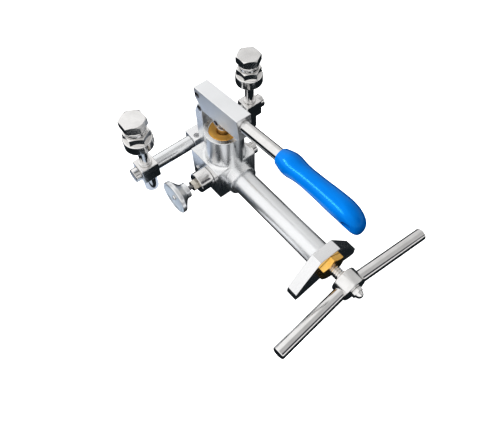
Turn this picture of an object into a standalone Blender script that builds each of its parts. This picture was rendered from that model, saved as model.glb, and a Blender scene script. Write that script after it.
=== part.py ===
# Pneumatic pressure comparator: a lever pump for coarse pressure, a T-handle screw press
# for fine pressure, a vent valve, and two upright gauge connectors on a cross arm.
# Metres, +Z up. +X is the right of the operator, who stands at -Y.

import math

import bmesh
import bpy
from mathutils import Euler, Matrix, Vector

mm = 0.001

# Clearances and cuts
gap = 0.3 * mm
cut_overrun = 2.0 * mm
seal_gap = 0.25 * mm
weld_distance = 0.001 * mm
edge_break = 0.6 * mm
round_segments = 20
small_segments = 12
sharp_angle = math.radians(32)

# Pump block and cylinder, heights above the bench
block_width = 60.0 * mm
block_front = 23.5 * mm
block_back = 35.5 * mm
block_bottom = 7.5 * mm
block_top = 55.0 * mm
cylinder_radius = 25.0 * mm
cylinder_top = 100.6 * mm
cylinder_fillet = 5.5 * mm
cylinder_rim_bevel = 0.8 * mm
bore_radius = 15.0 * mm
bore_floor = 51.0 * mm
air_passage_radius = 2.0 * mm
fillet_steps = 4

# Guide ring screwed into the cylinder top
guide_radius = 18.4 * mm
guide_depth = 11.5 * mm
guide_countersink = 2.0 * mm

# Screw press: tube, foot plate, nut
press_height = 32.2 * mm
boss_radius = 21.0 * mm
boss_front = 36.5 * mm
boss_bevel = 1.5 * mm
tube_radius = 16.0 * mm
tube_wall = 4.0 * mm
tube_seat_depth = 15.0 * mm
press_bore_depth = 27.5 * mm
press_bore_radius = 9.0 * mm
foot_back = 178.6 * mm
foot_thickness = 15.4 * mm
foot_socket_depth = 7.5 * mm
foot_top_half = 15.2 * mm
foot_half_span = 49.4 * mm
foot_top = 52.7 * mm
foot_end_height = 12.5 * mm
foot_pad_width = 7.0 * mm
foot_arch_half = 10.0 * mm
foot_arch_height = 7.5 * mm
nut_across_flats = 32.0 * mm
nut_hex_length = 7.5 * mm
nut_body_length = 24.0 * mm

# Press spindle, plunger and T-handle
spindle_radius = 7.0 * mm
thread_depth = 0.9 * mm
thread_lead = 3.0 * mm
thread_flat_share = 0.3
thread_ring_steps = 3
thread_segments = 10
spindle_shank_radius = 5.0 * mm
spindle_inner_end = 61.0 * mm
press_travel_out = 84.0 * mm
plunger_length = 18.0 * mm
plunger_pocket = 5.0 * mm
plunger_groove_depth = 2.0 * mm
seal_width = 3.0 * mm
hub_radius = 17.0 * mm
hub_length = 20.6 * mm
hub_standoff = 14.3 * mm
hub_bevel = 1.6 * mm
tee_rod_radius = 7.75 * mm
tee_rod_reach = 115.0 * mm
tee_rod_socket = 8.5 * mm
tee_rod_bevel = 1.5 * mm
tee_rod_forward = 0.6 * mm
tee_sweep = math.radians(4.4)
cap_nut_across_flats = 13.0 * mm
cap_nut_length = 4.9 * mm
cap_nut_dome_radius = 5.4 * mm
cap_nut_dome_length = 6.0 * mm

# Rear manifold, cross arms and connectors
arm_behind = 58.1 * mm
arm_height = 38.6 * mm
square_stock = 24.0 * mm
manifold_half_length = 16.0 * mm
arm_radius = 9.4 * mm
arm_bore_radius = 2.5 * mm
arm_spigot_radius = 6.0 * mm
arm_spigot_length = 4.0 * mm
connector_offset = 87.3 * mm
fitting_half_length = 12.4 * mm
end_plug_reach = 8.7 * mm
leg_flat_radius = 6.6 * mm
leg_round = 2.8 * mm
standpipe_seat_depth = 5.0 * mm
standpipe_radius = 6.3 * mm
standpipe_bore_radius = 2.5 * mm
standpipe_collar_radius = 8.8 * mm
standpipe_collar_height = 3.2 * mm
standpipe_flange_radius = 9.6 * mm
standpipe_flange_height = 5.0 * mm
collar_bottom = 85.6 * mm
collar_radius = 18.8 * mm
collar_round_height = 13.4 * mm
collar_bevel = 2.2 * mm
collar_across_flats = 32.0 * mm
collar_top = 109.6 * mm
collar_lip = 3.0 * mm
collar_thread_radius = 10.2 * mm
seal_disc_height = 2.0 * mm
plug_across_flats = 30.0 * mm
plug_head_height = 10.7 * mm
plug_top = 129.7 * mm
plug_neck_radius = 13.6 * mm
plug_neck_height = 4.2 * mm
plug_waist_radius = 11.8 * mm
hex_chamfer = 1.8 * mm
manifold_screw_side = 8.2 * mm
manifold_screw_behind = 52.8 * mm
manifold_screw_head_radius = 4.2 * mm
manifold_screw_head_height = 4.5 * mm
manifold_screw_shank_radius = 2.5 * mm
manifold_screw_shank_length = 9.0 * mm
manifold_screw_recess = 0.6 * mm
socket_radius = 2.2 * mm
socket_depth = 2.5 * mm

# Pivot bracket and rocker link behind the cylinder
bracket_half_width = 9.5 * mm
bracket_front = 31.0 * mm
bracket_foot_bottom = 30.0 * mm
bracket_shoulder_drop = 2.0 * mm
fulcrum_behind = 34.5 * mm
fulcrum_drop = 1.7 * mm
ear_radius = 5.4 * mm
fork_half_gap = 4.8 * mm
fork_depth = 9.4 * mm
link_half_width = 4.3 * mm
link_foot_radius = 5.0 * mm
link_head_radius = 5.6 * mm
link_bar_half = 3.4 * mm
link_head_slack = 1.4 * mm
pivot_pin_radius = 2.6 * mm
pivot_head_radius = 3.9 * mm
pivot_head_thickness = 1.2 * mm
bracket_ear_arc_degrees = (30, 170)
link_foot_arc_degrees = (130, 410)
link_head_arc_degrees = (-50, 230)
link_arc_steps = 14

# Lever, in its own frame: origin on the rod pin, +Y towards its rear end. The pin's rise is
# measured from the cylinder top, and the fulcrum's drop from the pin
rod_pin_rise = 16.5 * mm
lever_pitch = math.radians(4.7)
lever_width = 20.6 * mm
lever_rear = 38.5 * mm
lever_front = 44.3 * mm
lever_floor = 2.0 * mm
lever_height = 29.5 * mm
lever_chamfer_rise = 14.5 * mm
lever_chamfer_run = 11.2 * mm
lever_bevel = 0.7 * mm
rear_pin_back = 32.7 * mm
rear_pin_rise = 22.8 * mm
lever_slot_half = 5.2 * mm
lever_slot_front = 12.0 * mm
lever_roof = 1.6 * mm
rod_pin_radius = 3.0 * mm
rod_pin_head_radius = 4.0 * mm
lever_ear_radius = 5.5 * mm
lever_rod_radius = 7.45 * mm
lever_rod_rise = 19.0 * mm
lever_rod_seat = 20.0 * mm
lever_rod_end = 196.0 * mm
grip_start = 105.5 * mm
grip_end = 222.0 * mm
grip_bead_radius = 13.2 * mm
grip_waist_radius = 11.0 * mm
grip_belly_radius = 12.6 * mm
grip_wall_at_mouth = 1.2 * mm
grip_drop = 4.0 * mm
grip_end_drop = 8.0 * mm
grip_end_drop_share = 0.78
grip_hole_width = 6.4 * mm
grip_hole_length = 10.0 * mm
grip_hole_from_end = 12.0 * mm
grip_segments = 24
# Places along the grip as shares of its length, and the radius there
# as a share of the way from waist (0) to bead (1)
grip_mouth_shares = ((0.0, -1.0), (0.045, 0.0), (0.10, 0.8), (0.155, 1.0), (0.205, 0.6),
                     (0.265, 0.16))
# The same from waist (0) to belly (1), and at the end towards nothing (-1)
grip_belly_shares = ((0.36, 0.0), (0.50, 0.3), (0.66, 0.8), (0.80, 1.0), (0.89, 0.45))
grip_end_arc_share = 0.085
grip_end_steps = 4

# Pump rod and piston
rod_radius = 7.8 * mm
tongue_length = 10.6 * mm
tongue_half_width = 4.6 * mm
tongue_radius = 6.6 * mm
piston_clearance = 2.0 * mm
piston_height = 9.0 * mm
piston_bolt_radius = 4.0 * mm
piston_nut_across_flats = 10.0 * mm
piston_nut_height = 3.0 * mm
piston_nut_recess = 3.6 * mm
piston_groove_share = 0.6

# Vent valve on the left face
valve_radius = 14.0 * mm
valve_length = 19.7 * mm
valve_bevel = 1.2 * mm
valve_spigot_radius = 8.0 * mm
valve_spigot_length = 8.0 * mm
valve_bore_radius = 3.4 * mm
needle_radius = 2.6 * mm
needle_tip_radius = 0.9 * mm
needle_length = 16.0 * mm
gland_across_flats = 13.0 * mm
gland_length = 7.2 * mm
stem_radius = 3.0 * mm
knob_gap = 7.0 * mm
knob_length = 22.0 * mm
knob_hub_radius = 10.5 * mm
knob_hub_length = 6.0 * mm
knob_radius = 22.6 * mm
knob_rim_width = 6.0 * mm
knob_rim_round = 1.5 * mm
knob_dish_depth = 1.0 * mm
knob_dish_radius = 17.5 * mm
knob_screw_radius = 3.2 * mm
knob_screw_head_height = 2.2 * mm
knob_screw_length = 6.0 * mm
knob_screw_shank_radius = 1.5 * mm

# Check valve on the right face
check_across_flats = 22.0 * mm
check_hex_length = 9.5 * mm
check_cap_radius = 8.6 * mm
check_cap_length = 8.0 * mm
check_cavity_radius = 5.0 * mm
check_spigot_length = 7.0 * mm
check_port_radius = 2.0 * mm
poppet_radius = 4.0 * mm
poppet_stem_radius = 1.6 * mm
poppet_disc_thickness = 2.5 * mm
poppet_stem_length = 4.0 * mm
poppet_seat_depth = 2.0 * mm
poppet_travel = 1.5 * mm

# Blind plug in the block's left face
block_plug_radius = 4.0 * mm
block_plug_behind = 26.0 * mm
block_plug_height = 24.0 * mm
block_plug_proud = 1.6 * mm
block_plug_depth = 6.0 * mm

# Places that follow from the sizes above
block_half = block_width / 2
arm_half_stock = square_stock / 2
tube_front = foot_back + foot_socket_depth
tube_back = boss_front - tube_seat_depth
tube_bore_radius = tube_radius - tube_wall
foot_front = foot_back + foot_thickness
nut_front = foot_front + gap + nut_hex_length
hub_back = nut_front + hub_standoff
hub_front = hub_back + hub_length
press_front = hub_front + gap + cap_nut_length + cap_nut_dome_length
fitting_top = arm_height + arm_half_stock
fitting_bottom = arm_height - arm_half_stock
stand_shift = (press_front - arm_behind - collar_radius) / 2
tee_middle = (hub_back + hub_front) / 2
rod_pin_height = cylinder_top + rod_pin_rise
fulcrum_height = rod_pin_height - fulcrum_drop
fork_floor = fulcrum_height - fork_depth
bracket_shoulder = fork_floor - bracket_shoulder_drop
rod_shoulder = rod_pin_height - tongue_length
piston_bottom = bore_floor + piston_clearance


# Scene and material helpers

def clear_scene():
    for item in list(bpy.data.objects):
        bpy.data.objects.remove(item, do_unlink=True)


def make_material(name, colour, roughness, metallic):
    material = bpy.data.materials.new(name)
    material.use_nodes = True
    shader = material.node_tree.nodes["Principled BSDF"]
    shader.inputs["Base Color"].default_value = (*colour, 1.0)
    shader.inputs["Roughness"].default_value = roughness
    shader.inputs["Metallic"].default_value = metallic
    material.diffuse_color = (*colour, 1.0)
    return material


def add_empty(name, location, parent=None, turn=(0.0, 0.0, 0.0)):
    empty = bpy.data.objects.new(name, None)
    empty.location = location
    empty.rotation_euler = turn
    empty.parent = parent
    bpy.context.collection.objects.link(empty)
    return empty


def add_object(name, bm, material, parent, location=(0.0, 0.0, 0.0), along=(0.0, 0.0, 1.0)):
    bmesh.ops.remove_doubles(bm, verts=bm.verts, dist=weld_distance)
    bmesh.ops.recalc_face_normals(bm, faces=bm.faces)
    mesh = bpy.data.meshes.new(name)
    bm.to_mesh(mesh)
    bm.free()
    mesh.shade_smooth()
    mesh.set_sharp_from_angle(angle=sharp_angle)
    item = bpy.data.objects.new(name, mesh)
    item.location = location
    item.rotation_euler = Vector((0.0, 0.0, 1.0)).rotation_difference(Vector(along)).to_euler()
    item.parent = parent
    if material is not None:
        mesh.materials.append(material)
    bpy.context.collection.objects.link(item)
    return item


def boolean(target, tool, operation="DIFFERENCE"):
    tool.hide_render = True
    tool.display_type = "WIRE"
    modifier = target.modifiers.new(tool.name, "BOOLEAN")
    modifier.operation = operation
    modifier.solver = "EXACT"
    modifier.object = tool


def bevel(target, width, segments=1):
    modifier = target.modifiers.new("edge_break", "BEVEL")
    modifier.width = width
    modifier.segments = segments
    modifier.limit_method = "ANGLE"
    modifier.angle_limit = sharp_angle
    modifier.use_clamp_overlap = True


# Shape helpers: each returns a bmesh in its own frame, along +Z

def turned(profile, segments=round_segments, closed=False):
    # profile holds (radius, height) points; an open one is capped flat at both ends
    bm = bmesh.new()
    verts = [bm.verts.new((radius, 0.0, height)) for radius, height in profile]
    pairs = list(zip(verts, verts[1:]))
    if closed:
        pairs.append((verts[-1], verts[0]))
    edges = [bm.edges.new(pair) for pair in pairs]
    bmesh.ops.spin(bm, geom=verts + edges, cent=(0.0, 0.0, 0.0), axis=(0.0, 0.0, 1.0),
                   angle=math.tau, steps=segments, use_merge=True, use_duplicate=False)
    bmesh.ops.remove_doubles(bm, verts=bm.verts, dist=weld_distance)
    bmesh.ops.holes_fill(bm, edges=[edge for edge in bm.edges if edge.is_boundary], sides=0)
    return bm


def rod(radius, low, high, segments=round_segments):
    return turned([(radius, low), (radius, high)], segments)


def bevelled_rod(radius, low, high, width, segments=round_segments):
    return turned([(radius - width, low), (radius, low + width), (radius, high - width),
                   (radius - width, high)], segments)


def ring(inner, outer, low, high, segments=round_segments):
    return turned([(inner, low), (outer, low), (outer, high), (inner, high)], segments, closed=True)


def hexagon(across_flats, low, high, turn=0.0):
    bm = bmesh.new()
    radius = across_flats / math.sqrt(3.0)
    bmesh.ops.create_circle(bm, cap_ends=True, radius=radius, segments=6)
    face = bm.faces[:]
    side = bmesh.ops.extrude_face_region(bm, geom=face)
    top = [item for item in side["geom"] if isinstance(item, bmesh.types.BMVert)]
    bmesh.ops.translate(bm, verts=bm.verts, vec=(0.0, 0.0, low))
    bmesh.ops.translate(bm, verts=top, vec=(0.0, 0.0, high - low))
    bmesh.ops.rotate(bm, verts=bm.verts, matrix=Matrix.Rotation(turn, 3, "Z"))
    return bm


def prism(outline, low, high):
    # outline holds (y, z) points of a section that is extruded along X
    bm = bmesh.new()
    face = bm.faces.new([bm.verts.new((low, y, z)) for y, z in outline])
    side = bmesh.ops.extrude_face_region(bm, geom=[face])
    far = [item for item in side["geom"] if isinstance(item, bmesh.types.BMVert)]
    bmesh.ops.translate(bm, verts=far, vec=(high - low, 0.0, 0.0))
    return bm


def box(low, high):
    bm = bmesh.new()
    bmesh.ops.create_cube(bm, size=1.0)
    size = [top - bottom for bottom, top in zip(low, high)]
    middle = [(top + bottom) / 2 for bottom, top in zip(low, high)]
    bmesh.ops.scale(bm, verts=bm.verts, vec=size)
    bmesh.ops.translate(bm, verts=bm.verts, vec=middle)
    return bm


def cutter(name, bm, parent, location=(0.0, 0.0, 0.0), along=(0.0, 0.0, 1.0)):
    item = add_object(name + "_cutter", bm, None, parent, location, along)
    item.hide_render = True
    item.display_type = "WIRE"
    return item


def drill(target, radius, start, along, depth, segments=round_segments):
    # a plain hole from start, depth deep in the direction along, open at its start
    tool = cutter(target.name + "_hole", rod(radius, -cut_overrun, depth, segments),
                  target.parent, start, along)
    boolean(target, tool)
    return tool


def chamfer_hexagon(target, across_flats, low, high, location, along, both=False):
    # the turned chamfer that rounds the corners of a hexagon's outer end, or of both ends
    corner = across_flats / math.sqrt(3.0)
    inner = across_flats / 2
    start = (inner, low) if both else (corner + cut_overrun, low - cut_overrun)
    profile = [start, (corner + cut_overrun, low + hex_chamfer if both else low),
               (corner + cut_overrun, high - hex_chamfer), (inner, high)]
    tool = cutter(target.name + "_corner", turned(profile), target.parent, location, along)
    boolean(target, tool, "INTERSECT")


# Pump block, cylinder and what is screwed into them

def build_pump_body(stand, looks):
    block = add_object(
        "pump_block",
        box((-block_half, -block_front, block_bottom), (block_half, block_back, block_top)),
        looks["aluminium"], stand)
    bevel(block, edge_break)

    column = cutter(
        "cylinder_column",
        turned([(cylinder_radius, press_height), (cylinder_radius, cylinder_top - cylinder_rim_bevel),
                (cylinder_radius - cylinder_rim_bevel, cylinder_top)]), stand)
    boolean(block, column, "UNION")
    steps = [math.radians(90) * step / fillet_steps for step in range(fillet_steps + 1)]
    curve = [(cylinder_radius + cylinder_fillet * (1 - math.sin(angle)),
              block_top + cylinder_fillet * (1 - math.cos(angle))) for angle in steps]
    low, inside = block_top - edge_break, cylinder_radius - edge_break
    flare = cutter(
        "cylinder_flare",
        turned([(inside, low), (curve[0][0], low)] + curve + [(inside, curve[-1][1])], closed=True),
        stand)
    margin = edge_break * 2
    keep = cutter(
        "flare_limit",
        box((-block_half + margin, -block_front + margin, block_bottom),
            (block_half - margin, block_back - margin, cylinder_top)), stand)
    boolean(flare, keep, "INTERSECT")
    boolean(block, flare, "UNION")

    front_boss = cutter(
        "front_boss",
        turned([(boss_radius, 0.0), (boss_radius, boss_front - boss_bevel),
                (boss_radius - boss_bevel, boss_front)]),
        stand, (0.0, 0.0, press_height), (0.0, -1.0, 0.0))
    boolean(block, front_boss, "UNION")

    # pump bore with its wider seat for the guide ring
    drill(block, bore_radius, (0.0, 0.0, cylinder_top), (0.0, 0.0, -1.0), cylinder_top - bore_floor)
    drill(block, guide_radius + gap, (0.0, 0.0, cylinder_top), (0.0, 0.0, -1.0), guide_depth + gap)
    # press bore behind the seat of the tube
    drill(block, tube_radius + gap, (0.0, -boss_front, press_height), (0.0, 1.0, 0.0), tube_seat_depth)
    drill(block, press_bore_radius, (0.0, -boss_front, press_height), (0.0, 1.0, 0.0),
          tube_seat_depth + press_bore_depth)
    # air passages: pump bore to press bore, out to the rear face, and across to both valves
    drill(block, air_passage_radius, (0.0, 0.0, bore_floor), (0.0, 0.0, -1.0),
          bore_floor - press_height, small_segments)
    drill(block, air_passage_radius, (0.0, block_back, arm_height), (0.0, -1.0, 0.0),
          block_back, small_segments)
    drill(block, air_passage_radius, (-block_half, 0.0, press_height), (1.0, 0.0, 0.0),
          block_width, small_segments)
    # side ports for the two valves and the blind plug
    drill(block, valve_spigot_radius + gap, (-block_half, 0.0, press_height), (1.0, 0.0, 0.0),
          valve_spigot_length + gap)
    drill(block, valve_spigot_radius + gap, (block_half, 0.0, press_height), (-1.0, 0.0, 0.0),
          check_spigot_length + gap)
    drill(block, block_plug_radius + gap, (-block_half, block_plug_behind, block_plug_height),
          (1.0, 0.0, 0.0), block_plug_depth + gap, small_segments)

    top = cylinder_top - gap
    guide = add_object(
        "guide_ring",
        turned([(rod_radius + gap, top - guide_depth + gap), (guide_radius, top - guide_depth + gap),
                (guide_radius, top), (rod_radius + gap + guide_countersink, top),
                (rod_radius + gap, top - guide_countersink)], closed=True),
        looks["brass"], stand)

    plug = add_object(
        "block_blind_plug",
        bevelled_rod(block_plug_radius, -block_plug_depth, block_plug_proud, edge_break, small_segments),
        looks["bright_steel"], stand, (-block_half, block_plug_behind, block_plug_height),
        (-1.0, 0.0, 0.0))
    boolean(plug, cutter("block_plug_socket",
                         hexagon(socket_radius * 2, block_plug_proud - socket_depth,
                                 block_plug_proud + cut_overrun), stand,
                         plug.location, (-1.0, 0.0, 0.0)))
    return guide


# Screw press: tube, foot plate and brass nut stand still

def build_press_frame(stand, looks):
    axis = (0.0, 0.0, press_height)
    forward = (0.0, -1.0, 0.0)
    add_object("press_tube", ring(tube_bore_radius, tube_radius, tube_back + gap, tube_front - gap),
               looks["satin_aluminium"], stand, axis, forward)

    outline = [(-foot_half_span, 0.0), (-foot_half_span + foot_pad_width, 0.0),
               (-foot_arch_half, foot_arch_height), (foot_arch_half, foot_arch_height),
               (foot_half_span - foot_pad_width, 0.0), (foot_half_span, 0.0),
               (foot_half_span, foot_end_height), (foot_top_half, foot_top),
               (-foot_top_half, foot_top), (-foot_half_span, foot_end_height)]
    bm = prism(outline, foot_back, foot_front)
    bmesh.ops.rotate(bm, verts=bm.verts, matrix=Matrix.Rotation(-math.pi / 2, 3, "Z"))
    foot = add_object("foot_plate", bm, looks["aluminium"], stand)
    bevel(foot, edge_break)
    drill(foot, tube_radius + gap, (0.0, -foot_back, press_height), forward, foot_socket_depth)
    drill(foot, tube_bore_radius, (0.0, -foot_back, press_height), forward,
          foot_thickness + cut_overrun)

    nut = add_object("press_nut", hexagon(nut_across_flats, foot_front + gap, nut_front),
                     looks["brass"], stand, axis, forward)
    chamfer_hexagon(nut, nut_across_flats, foot_front, nut_front, axis, forward)
    nut_body = cutter("press_nut_body",
                      rod(tube_bore_radius - gap, nut_front - nut_body_length, nut_front - edge_break),
                      stand, axis, forward)
    boolean(nut, nut_body, "UNION")
    boolean(nut, cutter("press_nut_bore",
                        rod(spindle_radius + gap, nut_front - nut_body_length - cut_overrun,
                            nut_front + cut_overrun), stand, axis, forward))


# Moving parts of the press

def threaded_rod(low, high):
    # a rod whose radius follows a helix: flat crests and roots joined by sloping flanks
    rings = math.ceil((high - low) / thread_lead * thread_ring_steps)
    bm = bmesh.new()
    rows = []
    for row in range(rings + 1):
        height = low + (high - low) * row / rings
        verts = []
        for step in range(thread_segments):
            turn = step / thread_segments
            phase = ((height - low) / thread_lead - turn) % 1.0
            wave = abs(phase * 2 - 1)
            crest = min(max((wave - thread_flat_share) / (1 - 2 * thread_flat_share), 0.0), 1.0)
            radius = spindle_radius - thread_depth * crest
            verts.append(bm.verts.new((radius * math.cos(math.tau * turn),
                                       radius * math.sin(math.tau * turn), height)))
        rows.append([bm.edges.new((verts[step - 1], verts[step])) for step in range(thread_segments)])
    for lower, upper in zip(rows, rows[1:]):
        bmesh.ops.bridge_loops(bm, edges=lower + upper)
    bmesh.ops.holes_fill(bm, edges=rows[0] + rows[-1], sides=0)
    return bm


def build_press_motion(stand, looks):
    plunger_axis = add_empty("press_plunger_axis", (0.0, -spindle_inner_end, press_height), stand)
    forward = (0.0, -1.0, 0.0)
    radius = tube_bore_radius - gap
    groove = radius - plunger_groove_depth
    half = plunger_length / 2
    # the plunger lies behind the spindle's end, which turns in its pocket
    low, high = -plunger_length + plunger_pocket, plunger_pocket
    centre = (low + high) / 2
    first, second = centre - half / 2, centre + half / 2
    profile = [(radius - edge_break, low), (radius, low + edge_break)]
    for middle in (first, second):
        profile += [(radius, middle - seal_width / 2 - gap), (groove, middle - seal_width / 2 - gap),
                    (groove, middle + seal_width / 2 + gap), (radius, middle + seal_width / 2 + gap)]
    profile += [(radius, high - edge_break), (radius - edge_break, high)]
    plunger = add_object("press_plunger", turned(profile), looks["bright_steel"], plunger_axis,
                         (0.0, 0.0, 0.0), forward)
    drill(plunger, spindle_shank_radius + gap, (0.0, -high, 0.0), (0.0, 1.0, 0.0),
          plunger_pocket + gap, small_segments)
    for name, middle in (("plunger_seal_inner", first), ("plunger_seal_outer", second)):
        add_object(name, ring(groove + gap, tube_bore_radius - seal_gap, middle - seal_width / 2,
                              middle + seal_width / 2), looks["rubber"], plunger_axis,
                   (0.0, 0.0, 0.0), forward)

    screw_axis = add_empty("press_screw_axis", (0.0, -tee_middle, press_height), stand)
    back = tee_middle - spindle_inner_end
    nut_inner_end = nut_front - nut_body_length
    thread_low = tee_middle - nut_inner_end + press_travel_out
    thread_high = hub_length / 2 + gap
    spindle = add_object("press_spindle", threaded_rod(-thread_low, -thread_high), looks["bright_steel"],
                         screw_axis, (0.0, 0.0, 0.0), forward)
    shank = cutter("spindle_shank",
                   rod(spindle_shank_radius, -back, hub_length / 2 + gap + cap_nut_length,
                       thread_segments), screw_axis, (0.0, 0.0, 0.0), forward)
    boolean(spindle, shank, "UNION")

    hub = add_object("tee_hub",
                     bevelled_rod(hub_radius, -hub_length / 2, hub_length / 2, hub_bevel),
                     looks["bright_steel"], screw_axis, (0.0, 0.0, 0.0), forward)
    boolean(hub, cutter("hub_bore", rod(spindle_shank_radius + gap, -hub_length, hub_length,
                                        small_segments), screw_axis, (0.0, 0.0, 0.0), forward))
    for side, name in ((-1.0, "tee_rod_left"), (1.0, "tee_rod_right")):
        aim = (side * math.cos(tee_sweep), -math.sin(tee_sweep), 0.0)
        centre = (0.0, -tee_rod_forward, 0.0)
        bar = bevelled_rod(tee_rod_radius, tee_rod_socket + gap, tee_rod_reach, tee_rod_bevel)
        add_object(name, bar, looks["bright_steel"], screw_axis, centre, aim)
        boolean(hub, cutter(name + "_socket",
                            rod(tee_rod_radius + gap, tee_rod_socket, hub_radius + cut_overrun),
                            screw_axis, centre, aim))

    low = hub_length / 2 + gap
    cap = add_object("hub_cap_nut", hexagon(cap_nut_across_flats, low, low + cap_nut_length),
                     looks["bright_steel"], screw_axis, (0.0, 0.0, 0.0), forward)
    steps = [math.radians(90) * step / fillet_steps for step in range(fillet_steps)]
    dome = [(cap_nut_dome_radius, low + cap_nut_length - edge_break)]
    dome += [(cap_nut_dome_radius * math.cos(angle),
              low + cap_nut_length + cap_nut_dome_length * math.sin(angle)) for angle in steps]
    dome.append((0.0, low + cap_nut_length + cap_nut_dome_length))
    boolean(cap, cutter("cap_nut_dome", turned(dome, small_segments), screw_axis,
                        (0.0, 0.0, 0.0), forward), "UNION")
    boolean(cap, cutter("cap_nut_bore",
                        rod(spindle_shank_radius + gap, low - cut_overrun,
                            low + cap_nut_length + gap, small_segments), screw_axis,
                        (0.0, 0.0, 0.0), forward))


# Rear manifold, arms and the two connectors

def build_manifold(stand, looks):
    manifold = add_object(
        "manifold_block",
        box((-manifold_half_length, arm_behind - arm_half_stock, fitting_bottom),
            (manifold_half_length, arm_behind + arm_half_stock, fitting_top)),
        looks["aluminium"], stand)
    bevel(manifold, edge_break)
    for side in (-1.0, 1.0):
        drill(manifold, arm_spigot_radius + gap, (side * manifold_half_length, arm_behind, arm_height),
              (-side, 0.0, 0.0), arm_spigot_length + gap)
    boolean(manifold, cutter("manifold_gallery",
                             rod(air_passage_radius, -manifold_half_length, manifold_half_length,
                                 small_segments), stand, (0.0, arm_behind, arm_height), (1.0, 0.0, 0.0)))
    drill(manifold, air_passage_radius, (0.0, arm_behind - arm_half_stock, arm_height),
          (0.0, 1.0, 0.0), arm_half_stock, small_segments)

    for side, name in ((-1.0, "manifold_screw_left"), (1.0, "manifold_screw_right")):
        seat = (side * manifold_screw_side, manifold_screw_behind, fitting_top)
        down = (0.0, 0.0, -1.0)
        depth = manifold_screw_recess + manifold_screw_head_height
        drill(manifold, manifold_screw_head_radius + gap, seat, down, depth + gap, small_segments)
        drill(manifold, manifold_screw_shank_radius + gap, seat, down,
              depth + manifold_screw_shank_length + gap, small_segments)
        top = -manifold_screw_recess
        screw = add_object(
            name,
            turned([(manifold_screw_shank_radius, -depth - manifold_screw_shank_length),
                    (manifold_screw_shank_radius, -depth), (manifold_screw_head_radius, -depth),
                    (manifold_screw_head_radius, top - edge_break),
                    (manifold_screw_head_radius - edge_break, top)], small_segments),
            looks["bright_steel"], stand, seat)
        boolean(screw, cutter(name + "_socket",
                              hexagon(socket_radius * 2, top - socket_depth, top + cut_overrun),
                              stand, seat))


def build_arm(stand, looks, side, word):
    centre = (side * connector_offset, arm_behind, arm_height)
    outward = (side, 0.0, 0.0)
    inner_face = connector_offset - fitting_half_length
    low, high = manifold_half_length, inner_face
    arm = turned([(arm_bore_radius, low - arm_spigot_length), (arm_spigot_radius, low - arm_spigot_length),
                  (arm_spigot_radius, low + gap), (arm_radius, low + gap), (arm_radius, high - gap),
                  (arm_spigot_radius, high - gap), (arm_spigot_radius, high + arm_spigot_length),
                  (arm_bore_radius, high + arm_spigot_length)], closed=True)
    add_object(word + "_arm", arm, looks["satin_aluminium"], stand, (0.0, arm_behind, arm_height), outward)

    fitting = add_object(
        word + "_fitting",
        box((-fitting_half_length, -arm_half_stock, -arm_half_stock),
            (fitting_half_length, arm_half_stock, arm_half_stock)),
        looks["bright_steel"], stand, centre)
    bevel(fitting, edge_break)
    for aim in (-1.0, 1.0):
        drill(fitting, arm_spigot_radius + gap,
              (centre[0] + aim * fitting_half_length, arm_behind, arm_height), (-aim, 0.0, 0.0),
              arm_spigot_length + gap)
    drill(fitting, arm_spigot_radius + gap, (centre[0], arm_behind, fitting_bottom), (0.0, 0.0, 1.0),
          arm_spigot_length + gap)
    drill(fitting, standpipe_radius + gap, (centre[0], arm_behind, fitting_top), (0.0, 0.0, -1.0),
          standpipe_seat_depth + gap)
    drill(fitting, standpipe_bore_radius, (centre[0], arm_behind, fitting_top), (0.0, 0.0, -1.0),
          arm_half_stock + arm_bore_radius, small_segments)
    drill(fitting, arm_bore_radius / 2, (side * inner_face, arm_behind, arm_height), outward,
          fitting_half_length, small_segments)

    reach = connector_offset + fitting_half_length
    add_object(word + "_end_plug",
               turned([(arm_spigot_radius, reach - arm_spigot_length), (arm_spigot_radius, reach + gap),
                       (arm_radius, reach + gap), (arm_radius, reach + end_plug_reach - edge_break),
                       (arm_radius - edge_break, reach + end_plug_reach)]),
               looks["bright_steel"], stand, (0.0, arm_behind, arm_height), outward)

    add_object(word + "_leg",
               turned([(leg_flat_radius, 0.0), (arm_radius - edge_break, leg_round / 2),
                       (arm_radius, leg_round), (arm_radius, fitting_bottom - gap),
                       (arm_spigot_radius, fitting_bottom - gap),
                       (arm_spigot_radius, fitting_bottom + arm_spigot_length)]),
               looks["bright_steel"], stand, (centre[0], arm_behind, 0.0))

    flange_low = collar_bottom + collar_lip + gap
    flange_high = flange_low + standpipe_flange_height
    add_object(word + "_standpipe",
               turned([(standpipe_bore_radius, fitting_top - standpipe_seat_depth),
                       (standpipe_radius, fitting_top - standpipe_seat_depth),
                       (standpipe_radius, fitting_top + gap),
                       (standpipe_collar_radius, fitting_top + gap),
                       (standpipe_collar_radius, fitting_top + standpipe_collar_height - edge_break),
                       (standpipe_collar_radius - edge_break, fitting_top + standpipe_collar_height),
                       (standpipe_radius, fitting_top + standpipe_collar_height),
                       (standpipe_radius, flange_low), (standpipe_flange_radius, flange_low),
                       (standpipe_flange_radius, flange_high), (standpipe_bore_radius, flange_high)],
                      closed=True),
               looks["bright_steel"], stand, (centre[0], arm_behind, 0.0))
    seal_low = flange_high + gap
    add_object(word + "_face_seal",
               ring(standpipe_bore_radius, standpipe_flange_radius, seal_low,
                    seal_low + seal_disc_height),
               looks["rubber"], stand, (centre[0], arm_behind, 0.0))
    return seal_low + seal_disc_height


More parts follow.
